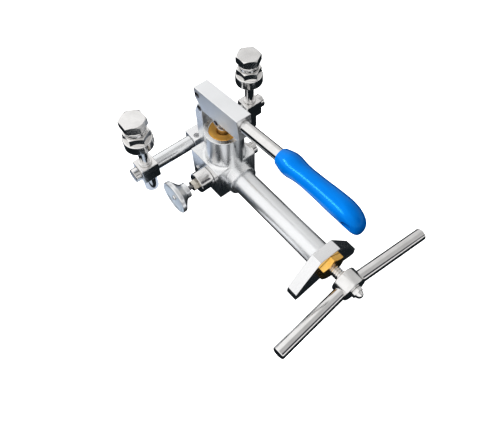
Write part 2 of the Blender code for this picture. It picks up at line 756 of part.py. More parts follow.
def build_connector(stand, looks, side, word, seat_height):
    axis = add_empty(word + "_connector_axis", (side * connector_offset, arm_behind, 0.0), stand)
    round_top = collar_bottom + collar_round_height
    collar = add_object(
        word + "_collar",
        turned([(collar_radius - collar_bevel, collar_bottom),
                (collar_radius, collar_bottom + collar_bevel), (collar_radius, round_top - collar_bevel),
                (collar_radius - collar_bevel, round_top)]),
        looks["bright_steel"], axis)
    upper = cutter(word + "_collar_hexagon",
                   hexagon(collar_across_flats, round_top - collar_bevel, collar_top), axis)
    chamfer_hexagon(upper, collar_across_flats, round_top - collar_bevel, collar_top,
                    (0.0, 0.0, 0.0), (0.0, 0.0, 1.0))
    boolean(collar, upper, "UNION")
    boolean(collar, cutter(word + "_collar_throat",
                           rod(standpipe_radius + gap, collar_bottom - cut_overrun,
                               collar_bottom + collar_lip + cut_overrun), axis))
    boolean(collar, cutter(word + "_collar_thread",
                           rod(collar_thread_radius, collar_bottom + collar_lip,
                               collar_top + cut_overrun), axis))

    neck_low = collar_top + gap
    head_low = plug_top - plug_head_height
    plug = add_object(word + "_plug", hexagon(plug_across_flats, head_low, plug_top),
                      looks["bright_steel"], axis)
    chamfer_hexagon(plug, plug_across_flats, head_low, plug_top, (0.0, 0.0, 0.0), (0.0, 0.0, 1.0), True)
    boolean(plug, cutter(word + "_plug_neck",
                         turned([(collar_thread_radius - gap, seat_height + gap),
                                 (collar_thread_radius - gap, neck_low),
                                 (plug_neck_radius, neck_low),
                                 (plug_neck_radius, neck_low + plug_neck_height - edge_break),
                                 (plug_neck_radius - edge_break, neck_low + plug_neck_height),
                                 (plug_waist_radius, neck_low + plug_neck_height),
                                 (plug_waist_radius, head_low + edge_break)]), axis), "UNION")


# Pivot bracket, rocker link and their pin

def world_of_rear_pin():
    turn = Matrix.Rotation(-lever_pitch, 3, "X")
    return turn @ Vector((0.0, rear_pin_back, rear_pin_rise)) + Vector((0.0, 0.0, rod_pin_height))


def arc_points(middle, radius, start, end, steps=6):
    return [(middle[0] + radius * math.cos(math.radians(start + (end - start) * step / steps)),
             middle[1] + radius * math.sin(math.radians(start + (end - start) * step / steps)))
            for step in range(steps + 1)]


def build_pivot(stand, looks):
    back = arm_behind - arm_half_stock - gap
    fulcrum = (fulcrum_behind, fulcrum_height)
    outline = [(block_back + gap, bracket_foot_bottom), (back, bracket_foot_bottom),
               (back, bracket_shoulder)]
    outline += arc_points(fulcrum, ear_radius, *bracket_ear_arc_degrees)
    outline += [(bracket_front, bracket_shoulder), (bracket_front, block_top + gap),
                (block_back + gap, block_top + gap)]
    bracket = add_object("pivot_bracket", prism(outline, -bracket_half_width, bracket_half_width),
                         looks["aluminium"], stand)
    bevel(bracket, edge_break)
    boolean(bracket, cutter("fork_gap", box((-fork_half_gap, bracket_front - cut_overrun, fork_floor),
                                            (fork_half_gap, back + cut_overrun,
                                             fulcrum_height + ear_radius * 2)), stand))
    boolean(bracket, cutter("fulcrum_hole",
                            rod(pivot_pin_radius + gap, -lever_width, lever_width, small_segments),
                            stand, (0.0, fulcrum_behind, fulcrum_height), (1.0, 0.0, 0.0)))
    boolean(bracket, cutter("bracket_passage",
                            rod(air_passage_radius, 0.0, arm_behind, small_segments),
                            stand, (0.0, 0.0, arm_height), (0.0, 1.0, 0.0)))
    build_pin("fulcrum_pin", stand, looks, (0.0, fulcrum_behind, fulcrum_height),
              bracket_half_width, pivot_pin_radius, pivot_head_radius)

    link_axis = add_empty("rocker_axis", (0.0, fulcrum_behind, fulcrum_height), stand)
    top = world_of_rear_pin() - Vector((0.0, fulcrum_behind, fulcrum_height))
    length = math.hypot(top.y, top.z)
    lean = math.atan2(-top.y, top.z)
    link_axis.rotation_euler = Euler((lean, 0.0, 0.0))
    outline = arc_points((0.0, 0.0), link_foot_radius, *link_foot_arc_degrees, link_arc_steps)
    outline += [(link_bar_half, length / 2)]
    outline += arc_points((0.0, length), link_head_radius, *link_head_arc_degrees, link_arc_steps)
    outline += [(-link_bar_half, length / 2)]
    link = add_object("rocker_link", prism(outline, -link_half_width, link_half_width),
                      looks["bright_steel"], link_axis)
    for name, height, radius in (("link_foot_hole", 0.0, pivot_pin_radius + gap),
                                 ("link_head_hole", length, pivot_pin_radius + link_head_slack)):
        boolean(link, cutter(name, rod(radius, -lever_width, lever_width, small_segments), link_axis,
                             (0.0, 0.0, height), (1.0, 0.0, 0.0)))


def build_pin(name, parent, looks, location, half_span, radius, head_radius):
    low = half_span + gap
    high = low + pivot_head_thickness
    bead = pivot_head_thickness / 2
    profile = [(head_radius - bead, -high), (head_radius, -low), (radius, -low), (radius, low),
               (head_radius, low), (head_radius - bead, high)]
    add_object(name, turned(profile, small_segments), looks["bright_steel"], parent, location,
               (1.0, 0.0, 0.0))


# Lever bar, rod and grip, in the lever's own frame

def grip_profile():
    length = grip_end - grip_start
    bead = grip_bead_radius - grip_waist_radius
    belly = grip_belly_radius - grip_waist_radius
    mouth = lever_rod_radius + gap + grip_wall_at_mouth
    points = []
    for place, share in grip_mouth_shares:
        radius = grip_waist_radius + bead * share
        points.append((max(radius, mouth), grip_start + length * place))
    for place, share in grip_belly_shares:
        points.append((grip_waist_radius + belly * share, grip_start + length * place))
    arc = length * grip_end_arc_share
    radius = points[-1][0]
    for step in range(1, grip_end_steps):
        angle = math.radians(90) * step / grip_end_steps
        points.append((radius * math.cos(angle), grip_end - arc + arc * math.sin(angle)))
    points.append((0.0, grip_end))
    return points


def grip_sag(distance):
    # how far the grip's middle line lies below the rod's, at a distance from the rod pin
    share = max((distance - grip_start) / (grip_end - grip_start), 0.0)
    end_share = max((share - grip_end_drop_share) / (1 - grip_end_drop_share), 0.0)
    return grip_drop * share ** 2 + grip_end_drop * end_share ** 2


def build_lever(stand, looks):
    axis = add_empty("lever_axis", (0.0, 0.0, rod_pin_height), stand, (-lever_pitch, 0.0, 0.0))
    half = lever_width / 2
    top = lever_floor + lever_height
    outline = [(-lever_front, lever_floor), (lever_rear - lever_chamfer_run, lever_floor),
               (lever_rear, lever_floor + lever_chamfer_rise), (lever_rear, top), (-lever_front, top)]
    bar = add_object("lever_bar", prism(outline, -half, half), looks["satin_aluminium"], axis)
    bevel(bar, lever_bevel)
    boolean(bar, cutter("lever_ear", rod(lever_ear_radius, -half, half, small_segments), axis,
                        (0.0, 0.0, 0.0), (1.0, 0.0, 0.0)), "UNION")
    boolean(bar, cutter("lever_slot",
                        box((-lever_slot_half, -lever_slot_front, -lever_height),
                            (lever_slot_half, lever_rear + cut_overrun, top - lever_roof)), axis))
    for name, place, radius in (("rod_pin_hole", (0.0, 0.0, 0.0), rod_pin_radius),
                                ("rear_pin_hole", (0.0, rear_pin_back, rear_pin_rise),
                                 pivot_pin_radius)):
        boolean(bar, cutter(name, rod(radius + gap, -lever_width, lever_width, small_segments), axis,
                            place, (1.0, 0.0, 0.0)))
    drill(bar, lever_rod_radius + gap, (0.0, -lever_front, lever_rod_rise), (0.0, 1.0, 0.0),
          lever_rod_seat + gap)

    forward = (0.0, -1.0, 0.0)
    at_rod = (0.0, 0.0, lever_rod_rise)
    add_object("lever_rod",
               bevelled_rod(lever_rod_radius, lever_front - lever_rod_seat, lever_rod_end, edge_break),
               looks["bright_steel"], axis, at_rod, forward)

    bm = turned(grip_profile(), grip_segments)
    for vert in bm.verts:
        vert.co.y -= grip_sag(vert.co.z)
    grip = add_object("lever_grip", bm, looks["blue_plastic"], axis, at_rod, forward)
    drill(grip, lever_rod_radius + gap, (0.0, -grip_start, lever_rod_rise), forward,
          lever_rod_end - grip_start + gap)
    middle = grip_end - grip_hole_from_end
    slot = turned([(grip_hole_width / 2, -lever_width), (grip_hole_width / 2, lever_width)],
                  small_segments)
    for vert in slot.verts:
        vert.co.y += math.copysign((grip_hole_length - grip_hole_width) / 2, vert.co.y)
    boolean(grip, cutter("grip_hole", slot, axis,
                         (0.0, -middle, lever_rod_rise - grip_sag(middle)), (1.0, 0.0, 0.0)))

    build_pin("rod_pin", axis, looks, (0.0, 0.0, 0.0), half, rod_pin_radius, rod_pin_head_radius)
    build_pin("rear_pin", axis, looks, (0.0, rear_pin_back, rear_pin_rise), half,
              pivot_pin_radius, pivot_head_radius)


# Pump rod, piston, its seal and nut

def build_piston(stand, looks):
    axis = add_empty("piston_axis", (0.0, 0.0, rod_pin_height), stand)
    base = -rod_pin_height
    piston_top = piston_bottom + piston_height
    pump_rod = add_object(
        "pump_rod",
        turned([(piston_bolt_radius, base + piston_bottom + gap), (piston_bolt_radius, base + piston_top + gap),
                (rod_radius, base + piston_top + gap), (rod_radius, base + rod_shoulder - edge_break),
                (rod_radius - edge_break, base + rod_shoulder)]),
        looks["bright_steel"], axis)
    outline = [(-tongue_radius, base + rod_shoulder - edge_break)]
    outline += [(tongue_radius, base + rod_shoulder - edge_break)]
    outline += arc_points((0.0, 0.0), tongue_radius, 0, 180, 10)
    boolean(pump_rod, cutter("rod_tongue", prism(outline, -tongue_half_width, tongue_half_width), axis),
            "UNION")
    boolean(pump_rod, cutter("rod_eye", rod(rod_pin_radius + gap, -lever_width, lever_width,
                                            small_segments), axis, (0.0, 0.0, 0.0), (1.0, 0.0, 0.0)))

    radius = bore_radius - gap
    groove = radius - plunger_groove_depth
    middle = base + piston_bottom + piston_height * piston_groove_share
    half = seal_width / 2
    low, high = base + piston_bottom, base + piston_top
    piston = add_object(
        "pump_piston",
        turned([(piston_bolt_radius + gap, low), (radius - edge_break, low), (radius, low + edge_break),
                (radius, middle - half - gap), (groove, middle - half - gap),
                (groove, middle + half + gap), (radius, middle + half + gap),
                (radius, high - edge_break), (radius - edge_break, high),
                (piston_bolt_radius + gap, high)], closed=True),
        looks["brass"], axis)
    nut_corner = piston_nut_across_flats / math.sqrt(3.0)
    drill(piston, nut_corner + gap, (0.0, 0.0, low), (0.0, 0.0, 1.0), piston_nut_recess)
    add_object("piston_seal", ring(groove + gap, bore_radius - seal_gap, middle - half, middle + half),
               looks["rubber"], axis)
    nut = add_object("piston_nut",
                     hexagon(piston_nut_across_flats, low + gap, low + gap + piston_nut_height),
                     looks["bright_steel"], axis)
    boolean(nut, cutter("piston_nut_bore",
                        rod(piston_bolt_radius + gap, low - cut_overrun, high), axis))


# Vent valve

def build_vent_valve(stand, looks):
    axis_at = (-block_half, 0.0, press_height)
    outward = (-1.0, 0.0, 0.0)
    body = add_object(
        "vent_valve_body",
        turned([(valve_spigot_radius, -valve_spigot_length), (valve_spigot_radius, gap),
                (valve_radius, gap), (valve_radius, valve_length - valve_bevel),
                (valve_radius - valve_bevel, valve_length)]),
        looks["bright_steel"], stand, axis_at, outward)
    boolean(body, cutter("valve_bore",
                         rod(valve_bore_radius, -valve_spigot_length / 2,
                             valve_length + cut_overrun, small_segments), stand, axis_at, outward))
    boolean(body, cutter("valve_seat",
                         rod(needle_tip_radius + gap, -valve_spigot_length - cut_overrun, 0.0,
                             small_segments), stand, axis_at, outward))
    gland_low = valve_length + gap
    gland_high = gland_low + gland_length
    gland = add_object("vent_gland", hexagon(gland_across_flats, gland_low, gland_high),
                       looks["brass_nickel"], stand, axis_at, outward)
    chamfer_hexagon(gland, gland_across_flats, gland_low, gland_high, axis_at, outward)
    boolean(gland, cutter("gland_bore",
                          rod(stem_radius + gap, valve_length - cut_overrun, gland_high + cut_overrun,
                              small_segments), stand, axis_at, outward))

    needle_axis = add_empty("vent_needle_axis", axis_at, stand)
    needle_end = needle_length - valve_spigot_length / 2
    tip = -valve_spigot_length / 2 + needle_radius
    add_object("vent_needle",
               turned([(needle_tip_radius, tip - needle_radius), (needle_radius, tip),
                       (needle_radius, needle_end)], small_segments),
               looks["bright_steel"], needle_axis, (0.0, 0.0, 0.0), outward)

    knob_axis = add_empty("vent_knob_axis", axis_at, stand)
    knob_low = gland_high + knob_gap
    knob_high = knob_low + knob_length
    flare = knob_high - knob_rim_width
    knob = add_object(
        "vent_knob",
        turned([(knob_hub_radius - edge_break, knob_low), (knob_hub_radius, knob_low + edge_break),
                (knob_hub_radius, knob_low + knob_hub_length),
                ((knob_hub_radius + knob_radius) / 2 - knob_rim_round, (knob_low + knob_hub_length + flare) / 2),
                (knob_radius - knob_rim_round, flare - knob_rim_round),
                (knob_radius, flare), (knob_radius, knob_high - knob_rim_round),
                (knob_radius - knob_rim_round, knob_high), (knob_dish_radius, knob_high),
                (knob_dish_radius - knob_dish_depth, knob_high - knob_dish_depth)]),
        looks["bright_steel"], knob_axis, (0.0, 0.0, 0.0), outward)
    boolean(knob, cutter("knob_socket",
                         rod(stem_radius + gap, knob_low - cut_overrun, flare, small_segments),
                         knob_axis, (0.0, 0.0, 0.0), outward))
    boolean(knob, cutter("knob_screw_hole",
                         rod(knob_screw_shank_radius + gap, flare - cut_overrun,
                             knob_high + cut_overrun, small_segments),
                         knob_axis, (0.0, 0.0, 0.0), outward))
    stem = add_object("vent_stem", rod(stem_radius, needle_end + gap, flare - gap, small_segments),
                      looks["bright_steel"], knob_axis, (0.0, 0.0, 0.0), outward)
    face = knob_high - knob_dish_depth
    drill(stem, knob_screw_shank_radius + gap, (-flare + gap, 0.0, 0.0), (1.0, 0.0, 0.0),
          knob_screw_length, small_segments)
    add_object("knob_screw",
               turned([(knob_screw_shank_radius, flare - gap - knob_screw_length / 2),
                       (knob_screw_shank_radius, face + gap), (knob_screw_radius, face + gap),
                       (knob_screw_radius, face + knob_screw_head_height - edge_break),
                       (knob_screw_radius - edge_break, face + knob_screw_head_height)],
                      small_segments),
               looks["bright_steel"], knob_axis, (0.0, 0.0, 0.0), outward)


# Check valve on the right face

def build_check_valve(stand, looks):
    axis_at = (block_half, 0.0, press_height)
    outward = (1.0, 0.0, 0.0)
    body = add_object("check_valve_body", hexagon(check_across_flats, gap, check_hex_length),
                      looks["bright_steel"], stand, axis_at, outward)
    chamfer_hexagon(body, check_across_flats, 0.0, check_hex_length, axis_at, outward)
    boolean(body, cutter("check_spigot", rod(valve_spigot_radius, -check_spigot_length,
                                             check_hex_length / 2), stand, axis_at, outward), "UNION")
    floor = poppet_seat_depth - check_spigot_length
    boolean(body, cutter("check_cavity", rod(check_cavity_radius, floor,
                                             check_hex_length + cut_overrun, small_segments),
                         stand, axis_at, outward))
    boolean(body, cutter("check_inlet", rod(check_port_radius, -check_spigot_length - cut_overrun,
                                            check_hex_length, small_segments), stand, axis_at, outward))
    cap_low = check_hex_length + gap
    cap = add_object("check_valve_cap",
                     bevelled_rod(check_cap_radius, cap_low, cap_low + check_cap_length, edge_break),
                     looks["bright_steel"], stand, axis_at, outward)
    plug_low = floor + poppet_disc_thickness + poppet_travel + poppet_stem_length
    boolean(cap, cutter("cap_spigot", rod(check_cavity_radius - gap, plug_low,
                                          cap_low + edge_break * 2, small_segments), stand, axis_at,
                        outward), "UNION")
    boolean(cap, cutter("cap_bore", rod(poppet_stem_radius + gap, plug_low - cut_overrun,
                                        cap_low + check_cap_length + cut_overrun, small_segments),
                        stand, axis_at, outward))
    poppet_axis = add_empty("check_poppet_axis", axis_at, stand)
    low = floor + gap
    add_object("check_poppet",
               turned([(poppet_radius, low), (poppet_radius, low + poppet_disc_thickness),
                       (poppet_stem_radius, low + poppet_disc_thickness),
                       (poppet_stem_radius, plug_low + poppet_stem_length)], small_segments),
               looks["bright_steel"], poppet_axis, (0.0, 0.0, 0.0), outward)


def main():
    clear_scene()
    looks = {
        "aluminium": make_material("aluminium", (0.80, 0.81, 0.82), 0.35, 1.0),
        "satin_aluminium": make_material("satin_aluminium", (0.86, 0.87, 0.88), 0.42, 1.0),
        "bright_steel": make_material("bright_steel", (0.72, 0.71, 0.70), 0.22, 1.0),
        "brass": make_material("brass", (0.86, 0.58, 0.20), 0.28, 1.0),
        "brass_nickel": make_material("brass_nickel", (0.78, 0.75, 0.68), 0.25, 1.0),
        "rubber": make_material("rubber", (0.03, 0.03, 0.03), 0.75, 0.0),
        "blue_plastic": make_material("blue_plastic", (0.01, 0.16, 0.72), 0.35, 0.0),
    }
    stand = add_empty("stand", (0.0, stand_shift, 0.0))
    build_pump_body(stand, looks)
    build_press_frame(stand, looks)
    build_press_motion(stand, looks)
    build_manifold(stand, looks)
    for side, word in ((-1.0, "left"), (1.0, "right")):
        seat_height = build_arm(stand, looks, side, word)
        build_connector(stand, looks, side, word, seat_height)
    build_pivot(stand, looks)
    build_lever(stand, looks)
    build_piston(stand, looks)
    build_vent_valve(stand, looks)
    build_check_valve(stand, looks)


main()
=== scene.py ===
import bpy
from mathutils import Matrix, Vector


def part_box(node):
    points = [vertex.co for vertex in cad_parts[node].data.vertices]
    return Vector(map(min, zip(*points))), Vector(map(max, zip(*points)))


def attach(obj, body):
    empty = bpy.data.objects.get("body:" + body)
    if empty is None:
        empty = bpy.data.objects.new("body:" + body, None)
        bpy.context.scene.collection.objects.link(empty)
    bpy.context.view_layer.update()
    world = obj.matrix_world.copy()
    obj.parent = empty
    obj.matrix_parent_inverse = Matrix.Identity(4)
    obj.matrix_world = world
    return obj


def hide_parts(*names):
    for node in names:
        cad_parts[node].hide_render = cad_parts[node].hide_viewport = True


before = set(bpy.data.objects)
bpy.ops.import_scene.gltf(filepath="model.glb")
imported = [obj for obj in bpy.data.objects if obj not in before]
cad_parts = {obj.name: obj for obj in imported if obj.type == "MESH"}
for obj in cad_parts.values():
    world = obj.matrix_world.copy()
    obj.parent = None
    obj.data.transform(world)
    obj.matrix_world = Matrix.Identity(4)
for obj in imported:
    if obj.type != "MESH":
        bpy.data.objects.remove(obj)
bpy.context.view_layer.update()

import math

import bmesh
import bpy
from mathutils import Matrix, Vector

mm = 0.001
knobLow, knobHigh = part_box("vent_knob")
pumpAxisY = (knobLow[1] + knobHigh[1]) / 2  # the vent knob sits square beside the pump axis
fromPumpAxis = Matrix.Translation((0.0, pumpAxisY, 0.0)) @ Matrix.Scale(mm, 4)

pressHeight = 32.2  # press axis and both valve axes above the bench
armHeight, armBehind = 38.6, 58.1  # cross arms
connectorSide = 87.3  # gauge connectors left and right of the middle
handleOut = 227.0  # T-handle rods in front of the pump axis
leverPin, leverPitch = (0.0, 0.0, 117.1), math.radians(4.7)
leverFrame = Matrix.Translation(leverPin) @ Matrix.Rotation(-leverPitch, 4, "X")
forward, backward, outLeft, outRight = (0, -1, 0), (0, 1, 0), (-1, 0, 0), (1, 0, 0)
upward, downward = (0, 0, 1), (0, 0, -1)
armSpot = (0, armBehind, armHeight)
seam = 0.3  # between pieces that only meet
past = 2  # how far a tool runs beyond the face that it opens

print("frame loaded, pump axis at y =", round(pumpAxisY, 4))


# Shaping helpers; a shape is a bmesh drawn along +Z

def turned(profile, segments=96, ring=False):
    shape = bmesh.new()
    points = [shape.verts.new((radius, 0.0, height)) for radius, height in profile]
    lines = [shape.edges.new(pair) for pair in zip(points, points[1:])]
    if ring:  # the profile closes on itself round a bore
        lines.append(shape.edges.new((points[-1], points[0])))
    bmesh.ops.spin(shape, geom=points + lines, cent=(0, 0, 0), axis=(0, 0, 1), angle=math.tau,
                   steps=segments, use_merge=True, use_duplicate=False)
    bmesh.ops.remove_doubles(shape, verts=shape.verts, dist=0.001)
    bmesh.ops.holes_fill(shape, edges=[edge for edge in shape.edges if edge.is_boundary], sides=0)
    bmesh.ops.recalc_face_normals(shape, faces=shape.faces)
    return shape


def rod(radius, low, high, segments=96):
    return turned([(radius, low), (radius, high)], segments)


def hexBar(acrossFlats, low, high):
    shape = bmesh.new()
    bmesh.ops.create_circle(shape, cap_ends=True, radius=acrossFlats / math.sqrt(3), segments=6)
    grown = bmesh.ops.extrude_face_region(shape, geom=shape.faces[:])
    top = [item for item in grown["geom"] if isinstance(item, bmesh.types.BMVert)]
    bmesh.ops.translate(shape, verts=shape.verts, vec=(0, 0, low))
    bmesh.ops.translate(shape, verts=top, vec=(0, 0, high - low))
    bmesh.ops.recalc_face_normals(shape, faces=shape.faces)
    return shape


def slab(low, high):
    shape = bmesh.new()
    bmesh.ops.create_cube(shape, size=1.0)
    bmesh.ops.scale(shape, verts=shape.verts, vec=[b - a for a, b in zip(low, high)])
    bmesh.ops.translate(shape, verts=shape.verts, vec=[(a + b) / 2 for a, b in zip(low, high)])
    return shape


def extruded(outline, low, high):  # outline of (y, z) points, pulled along X
    shape = bmesh.new()
    face = shape.faces.new([shape.verts.new((low, y, z)) for y, z in outline])
    grown = bmesh.ops.extrude_face_region(shape, geom=[face])
    far = [item for item in grown["geom"] if isinstance(item, bmesh.types.BMVert)]
    bmesh.ops.translate(shape, verts=far, vec=(high - low, 0, 0))
    bmesh.ops.recalc_face_normals(shape, faces=shape.faces)
    return shape


def arc(middle, radius, start, end, steps=12):
    angles = [math.radians(start + (end - start) * step / steps) for step in range(steps + 1)]
    return [(middle[0] + radius * math.cos(a), middle[1] + radius * math.sin(a)) for a in angles]


def roundedRim(radius, height, edge, steps=5):  # outline of a side rounded over to its top
    return arc((radius - edge, height - edge), edge, 0, 90, steps)


def edgedSide(radius, low, high, edge):  # outline of a side with both its edges broken
    return [(radius - edge, low), (radius, low + edge), (radius, high - edge), (radius - edge, high)]


def softened(shape, width, steps=3, angle=30):  # breaks every edge sharper than the angle
    sharp = [edge for edge in shape.edges
             if len(edge.link_faces) == 2 and edge.calc_face_angle() > math.radians(angle)]
    bmesh.ops.bevel(shape, geom=sharp, offset=width, offset_type="OFFSET", segments=steps,
                    profile=0.5, affect="EDGES", clamp_overlap=True, material=-1)
    return shape


def placed(shape, direction=upward, spot=(0, 0, 0)):
    turn = Vector((0, 0, 1)).rotation_difference(Vector(direction)).to_matrix().to_4x4()
    bmesh.ops.transform(shape, matrix=Matrix.Translation(spot) @ turn, verts=shape.verts)
    return shape


def onPress(shape):  # from the press axis towards the operator
    return placed(shape, forward, (0, 0, pressHeight))


def atConnector(shape, side):
    return placed(shape, upward, (side * connectorSide, armBehind, 0))


def crossRod(radius, half, spot=(0, 0, 0), segments=48):
    return placed(rod(radius, -half, half, segments), outRight, spot)


def scratchObject(shape):
    mesh = bpy.data.meshes.new("scratch")
    shape.to_mesh(mesh)
    shape.free()
    item = bpy.data.objects.new("scratch", mesh)
    bpy.context.collection.objects.link(item)
    return item


def evaluated(item):  # the object's shape with its modifiers applied
    bpy.context.view_layer.update()
    mesh = bpy.data.meshes.new_from_object(item.evaluated_get(bpy.context.evaluated_depsgraph_get()))
    result = bmesh.new()
    result.from_mesh(mesh)
    bpy.data.meshes.remove(mesh)
    return result


def worked(shape, tools, how="DIFFERENCE"):  # cuts, joins or trims a shape with others
    stock = scratchObject(shape)
    helpers = []
    for tool in tools:
        helpers.append(scratchObject(tool))
        step = stock.modifiers.new("work", "BOOLEAN")
        step.operation, step.solver, step.object = how, "EXACT", helpers[-1]
    result = evaluated(stock)
    for item in helpers + [stock]:
        old = item.data
        bpy.data.objects.remove(item)
        bpy.data.meshes.remove(old)
    bmesh.ops.remove_doubles(result, verts=result.verts, dist=0.0005)
    return result


def drill(radius, depth, direction, spot, mouth=0.0, segments=48):
    # a hole tool, depth deep from spot; mouth widens its first edge
    profile = [(radius + mouth, -3.0), (radius + mouth, 0.0), (radius, mouth), (radius, depth)]
    if not mouth:
        profile = [(radius, -3.0), (radius, depth)]
    return placed(turned(profile, segments), direction, spot)


def roundedHex(acrossFlats, low, high, chamfer, both=False):
    # a hexagon whose corners are turned down at its outer end, or at both
    corner, flat = acrossFlats / math.sqrt(3), acrossFlats / 2
    start = [(flat, low), (corner + 1, low + chamfer)] if both else [(corner + 1, low - 1)]
    cone = turned(start + [(corner + 1, high - chamfer), (flat, high)])
    return worked(hexBar(acrossFlats, low, high), [cone], "INTERSECT")


def finishPiece(name, shape, finish, node, body="base", sharp=32):
    bmesh.ops.recalc_face_normals(shape, faces=shape.faces)
    # the lever's pieces are drawn in its own frame
    matrix = fromPumpAxis @ leverFrame if body == "lever" else fromPumpAxis
    bmesh.ops.transform(shape, matrix=matrix, verts=shape.verts)
    mesh = bpy.data.meshes.new(name)
    shape.to_mesh(mesh)
    shape.free()
    mesh.shade_smooth()
    mesh.set_sharp_from_angle(angle=math.radians(sharp))
    mesh.materials.append(finish)
    piece = bpy.data.objects.new(name, mesh)
    bpy.context.collection.objects.link(piece)
    # keeps broad faces flat beside their rounded edges
    flats = piece.modifiers.new("flats", "WEIGHTED_NORMAL")
    flats.weight, flats.keep_sharp = 100, True
    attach(piece, body)
    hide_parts(node)
    return piece


# Finishes

def connect(tree, node, inputs):
    # gives each input its number or colour, or links it to another node's output
    for name, value in inputs.items():
        if isinstance(value, bpy.types.NodeSocket):
            tree.links.new(value, node.inputs[name])
        else:
            node.inputs[name].default_value = value


def added(tree, kind, inputs, **settings):
    node = tree.nodes.new("ShaderNode" + kind)
    for setting, value in settings.items():
        setattr(node, setting, value)
    connect(tree, node, inputs)
    return node


def newFinish(name):
    finish = bpy.data.materials.new(name)
    finish.use_nodes = True
    tree = finish.node_tree
    return finish, tree, tree.nodes["Principled BSDF"], added(tree, "TexCoord", {}).outputs["Object"]


def spread(tree, value, low, high, inLow=0.3, inHigh=0.7):
    return added(tree, "MapRange", {"From Min": inLow, "From Max": inHigh, "To Min": low, "To Max": high,
                                    "Value": value}).outputs["Result"]


def grain(tree, where, scale, detail=3.0, dimensions="3D"):
    return added(tree, "TexNoise", {"Scale": scale, "Detail": detail, "Vector": where},
                 noise_dimensions=dimensions).outputs["Fac"]


def stretched(tree, where, scale):
    return added(tree, "Mapping", {"Scale": scale, "Vector": where}).outputs["Vector"]


def mixed(tree, factor, first, second):
    first, second = [(*colour, 1) if isinstance(colour, tuple) else colour for colour in (first, second)]
    return added(tree, "Mix", {"A": first, "B": second, "Factor": factor}, data_type="RGBA").outputs["Result"]


def surfaced(tree, shader, look, tone, gloss, height):
    bump = added(tree, "Bump", {"Strength": look["strength"], "Distance": look["depth"], "Height": height})
    connect(tree, shader, {"Base Color": mixed(tree, tone, look["dark"], look["light"]),
                           "Roughness": spread(tree, gloss, *look["roughness"]),
                           "Normal": bump.outputs["Normal"]})


def metalSurfaced(tree, shader, where, look, marks):
    shader.inputs["Metallic"].default_value = look.get("metal", 1.0)
    tone = spread(tree, grain(tree, where, look["cloudScale"]), 0.0, 1.0)
    surfaced(tree, shader, look, tone, marks, marks)


def turnedMetal(name, look, along, centre=(0.0, 0.0, 0.0)):
    # lathe lines: a noise that changes only with the distance from the axis and along the axis
    finish, tree, shader, where = newFinish(name)
    across = added(tree, "Mapping", {  # leaves only the way from the axis
        "Scale": [0.0 if i == along else 1.0 for i in range(3)],
        "Location": [0.0 if i == along else -centre[i] for i in range(3)], "Vector": where})
    away = added(tree, "VectorMath", {0: across.outputs["Vector"]}, operation="LENGTH")
    split = added(tree, "SeparateXYZ", {"Vector": where})
    pair = added(tree, "CombineXYZ", {"X": away.outputs["Value"], "Y": split.outputs[along]})
    lines = grain(tree, pair.outputs["Vector"], look["lineScale"], 4.0, "2D")
    metalSurfaced(tree, shader, where, look, lines)
    return finish


def satinMetal(name, look, stretch):
    # milled or blasted faces: fine grain, stretched along the tool's path
    finish, tree, shader, where = newFinish(name)
    marks = grain(tree, stretched(tree, where, stretch), look["lineScale"], 4.0)
    metalSurfaced(tree, shader, where, look, marks)
    return finish


def dippedPlastic(name, look):
    # smooth dipped coating with the faint waves of a thick liquid that set as it ran
    finish, tree, shader, where = newFinish(name)
    shader.inputs["Specular Tint"].default_value = (*look["gloss"], 1)
    waves = grain(tree, stretched(tree, where, look["waveStretch"]), look["waveScale"], 2.0)
    specks = grain(tree, where, look["speckScale"], 2.0)
    surfaced(tree, shader, look, spread(tree, waves, 0.0, 1.0), specks, waves)
    return finish


def moulded(name, look):
    finish, tree, shader, where = newFinish(name)
    specks = grain(tree, where, look["speckScale"])
    surfaced(tree, shader, look, specks, specks, specks)
    return finish


steelLook = dict(
    light=(0.86, 0.85, 0.84), dark=(0.76, 0.75, 0.74), roughness=(0.13, 0.24),
    lineScale=1400.0, cloudScale=60.0, depth=0.00003, strength=0.12,
)
clearSteelLook = dict(steelLook, roughness=(0.10, 0.17), strength=0.06)
castAluminiumLook = dict(
    light=(0.90, 0.90, 0.90), dark=(0.82, 0.83, 0.84), roughness=(0.25, 0.33),
    lineScale=420.0, cloudScale=45.0, depth=0.00003, strength=0.04,
)
anodisedLook = dict(
    light=(0.92, 0.93, 0.94), dark=(0.86, 0.87, 0.88), roughness=(0.33, 0.42),
    lineScale=700.0, cloudScale=30.0, depth=0.00003, strength=0.10,
)
brassLook = dict(steelLook, light=(0.96, 0.62, 0.20), dark=(0.88, 0.50, 0.12), roughness=(0.30, 0.42))
nickelLook = dict(steelLook, light=(0.66, 0.63, 0.57), dark=(0.54, 0.50, 0.43))
gripLook = dict(
    light=(0.0, 0.175, 0.60), dark=(0.0, 0.135, 0.48), gloss=(0.10, 0.62, 1.0),
    waveScale=70.0, speckScale=900.0, waveStretch=(1.0, 0.35, 1.0), roughness=(0.17, 0.23),
    depth=0.0004, strength=0.25,
)
rubberLook = dict(
    light=(0.045, 0.045, 0.048), dark=(0.02, 0.02, 0.022), speckScale=1500.0,
    roughness=(0.55, 0.75), depth=0.00005, strength=0.3,
)

pumpCentre = (0.0, pumpAxisY, 0.0)
pressCentre = (0.0, 0.0, pressHeight * mm)
rodCentre = (0.0, pumpAxisY - handleOut * mm, pressHeight * mm)
pinCentre = (0.0, pumpAxisY, leverPin[2] * mm)
valveCentre = (0.0, pumpAxisY, pressHeight * mm)
armCentre = (0.0, pumpAxisY + armBehind * mm, armHeight * mm)
leftCentre = (-connectorSide * mm, armCentre[1], 0.0)
rightCentre = (connectorSide * mm, armCentre[1], 0.0)

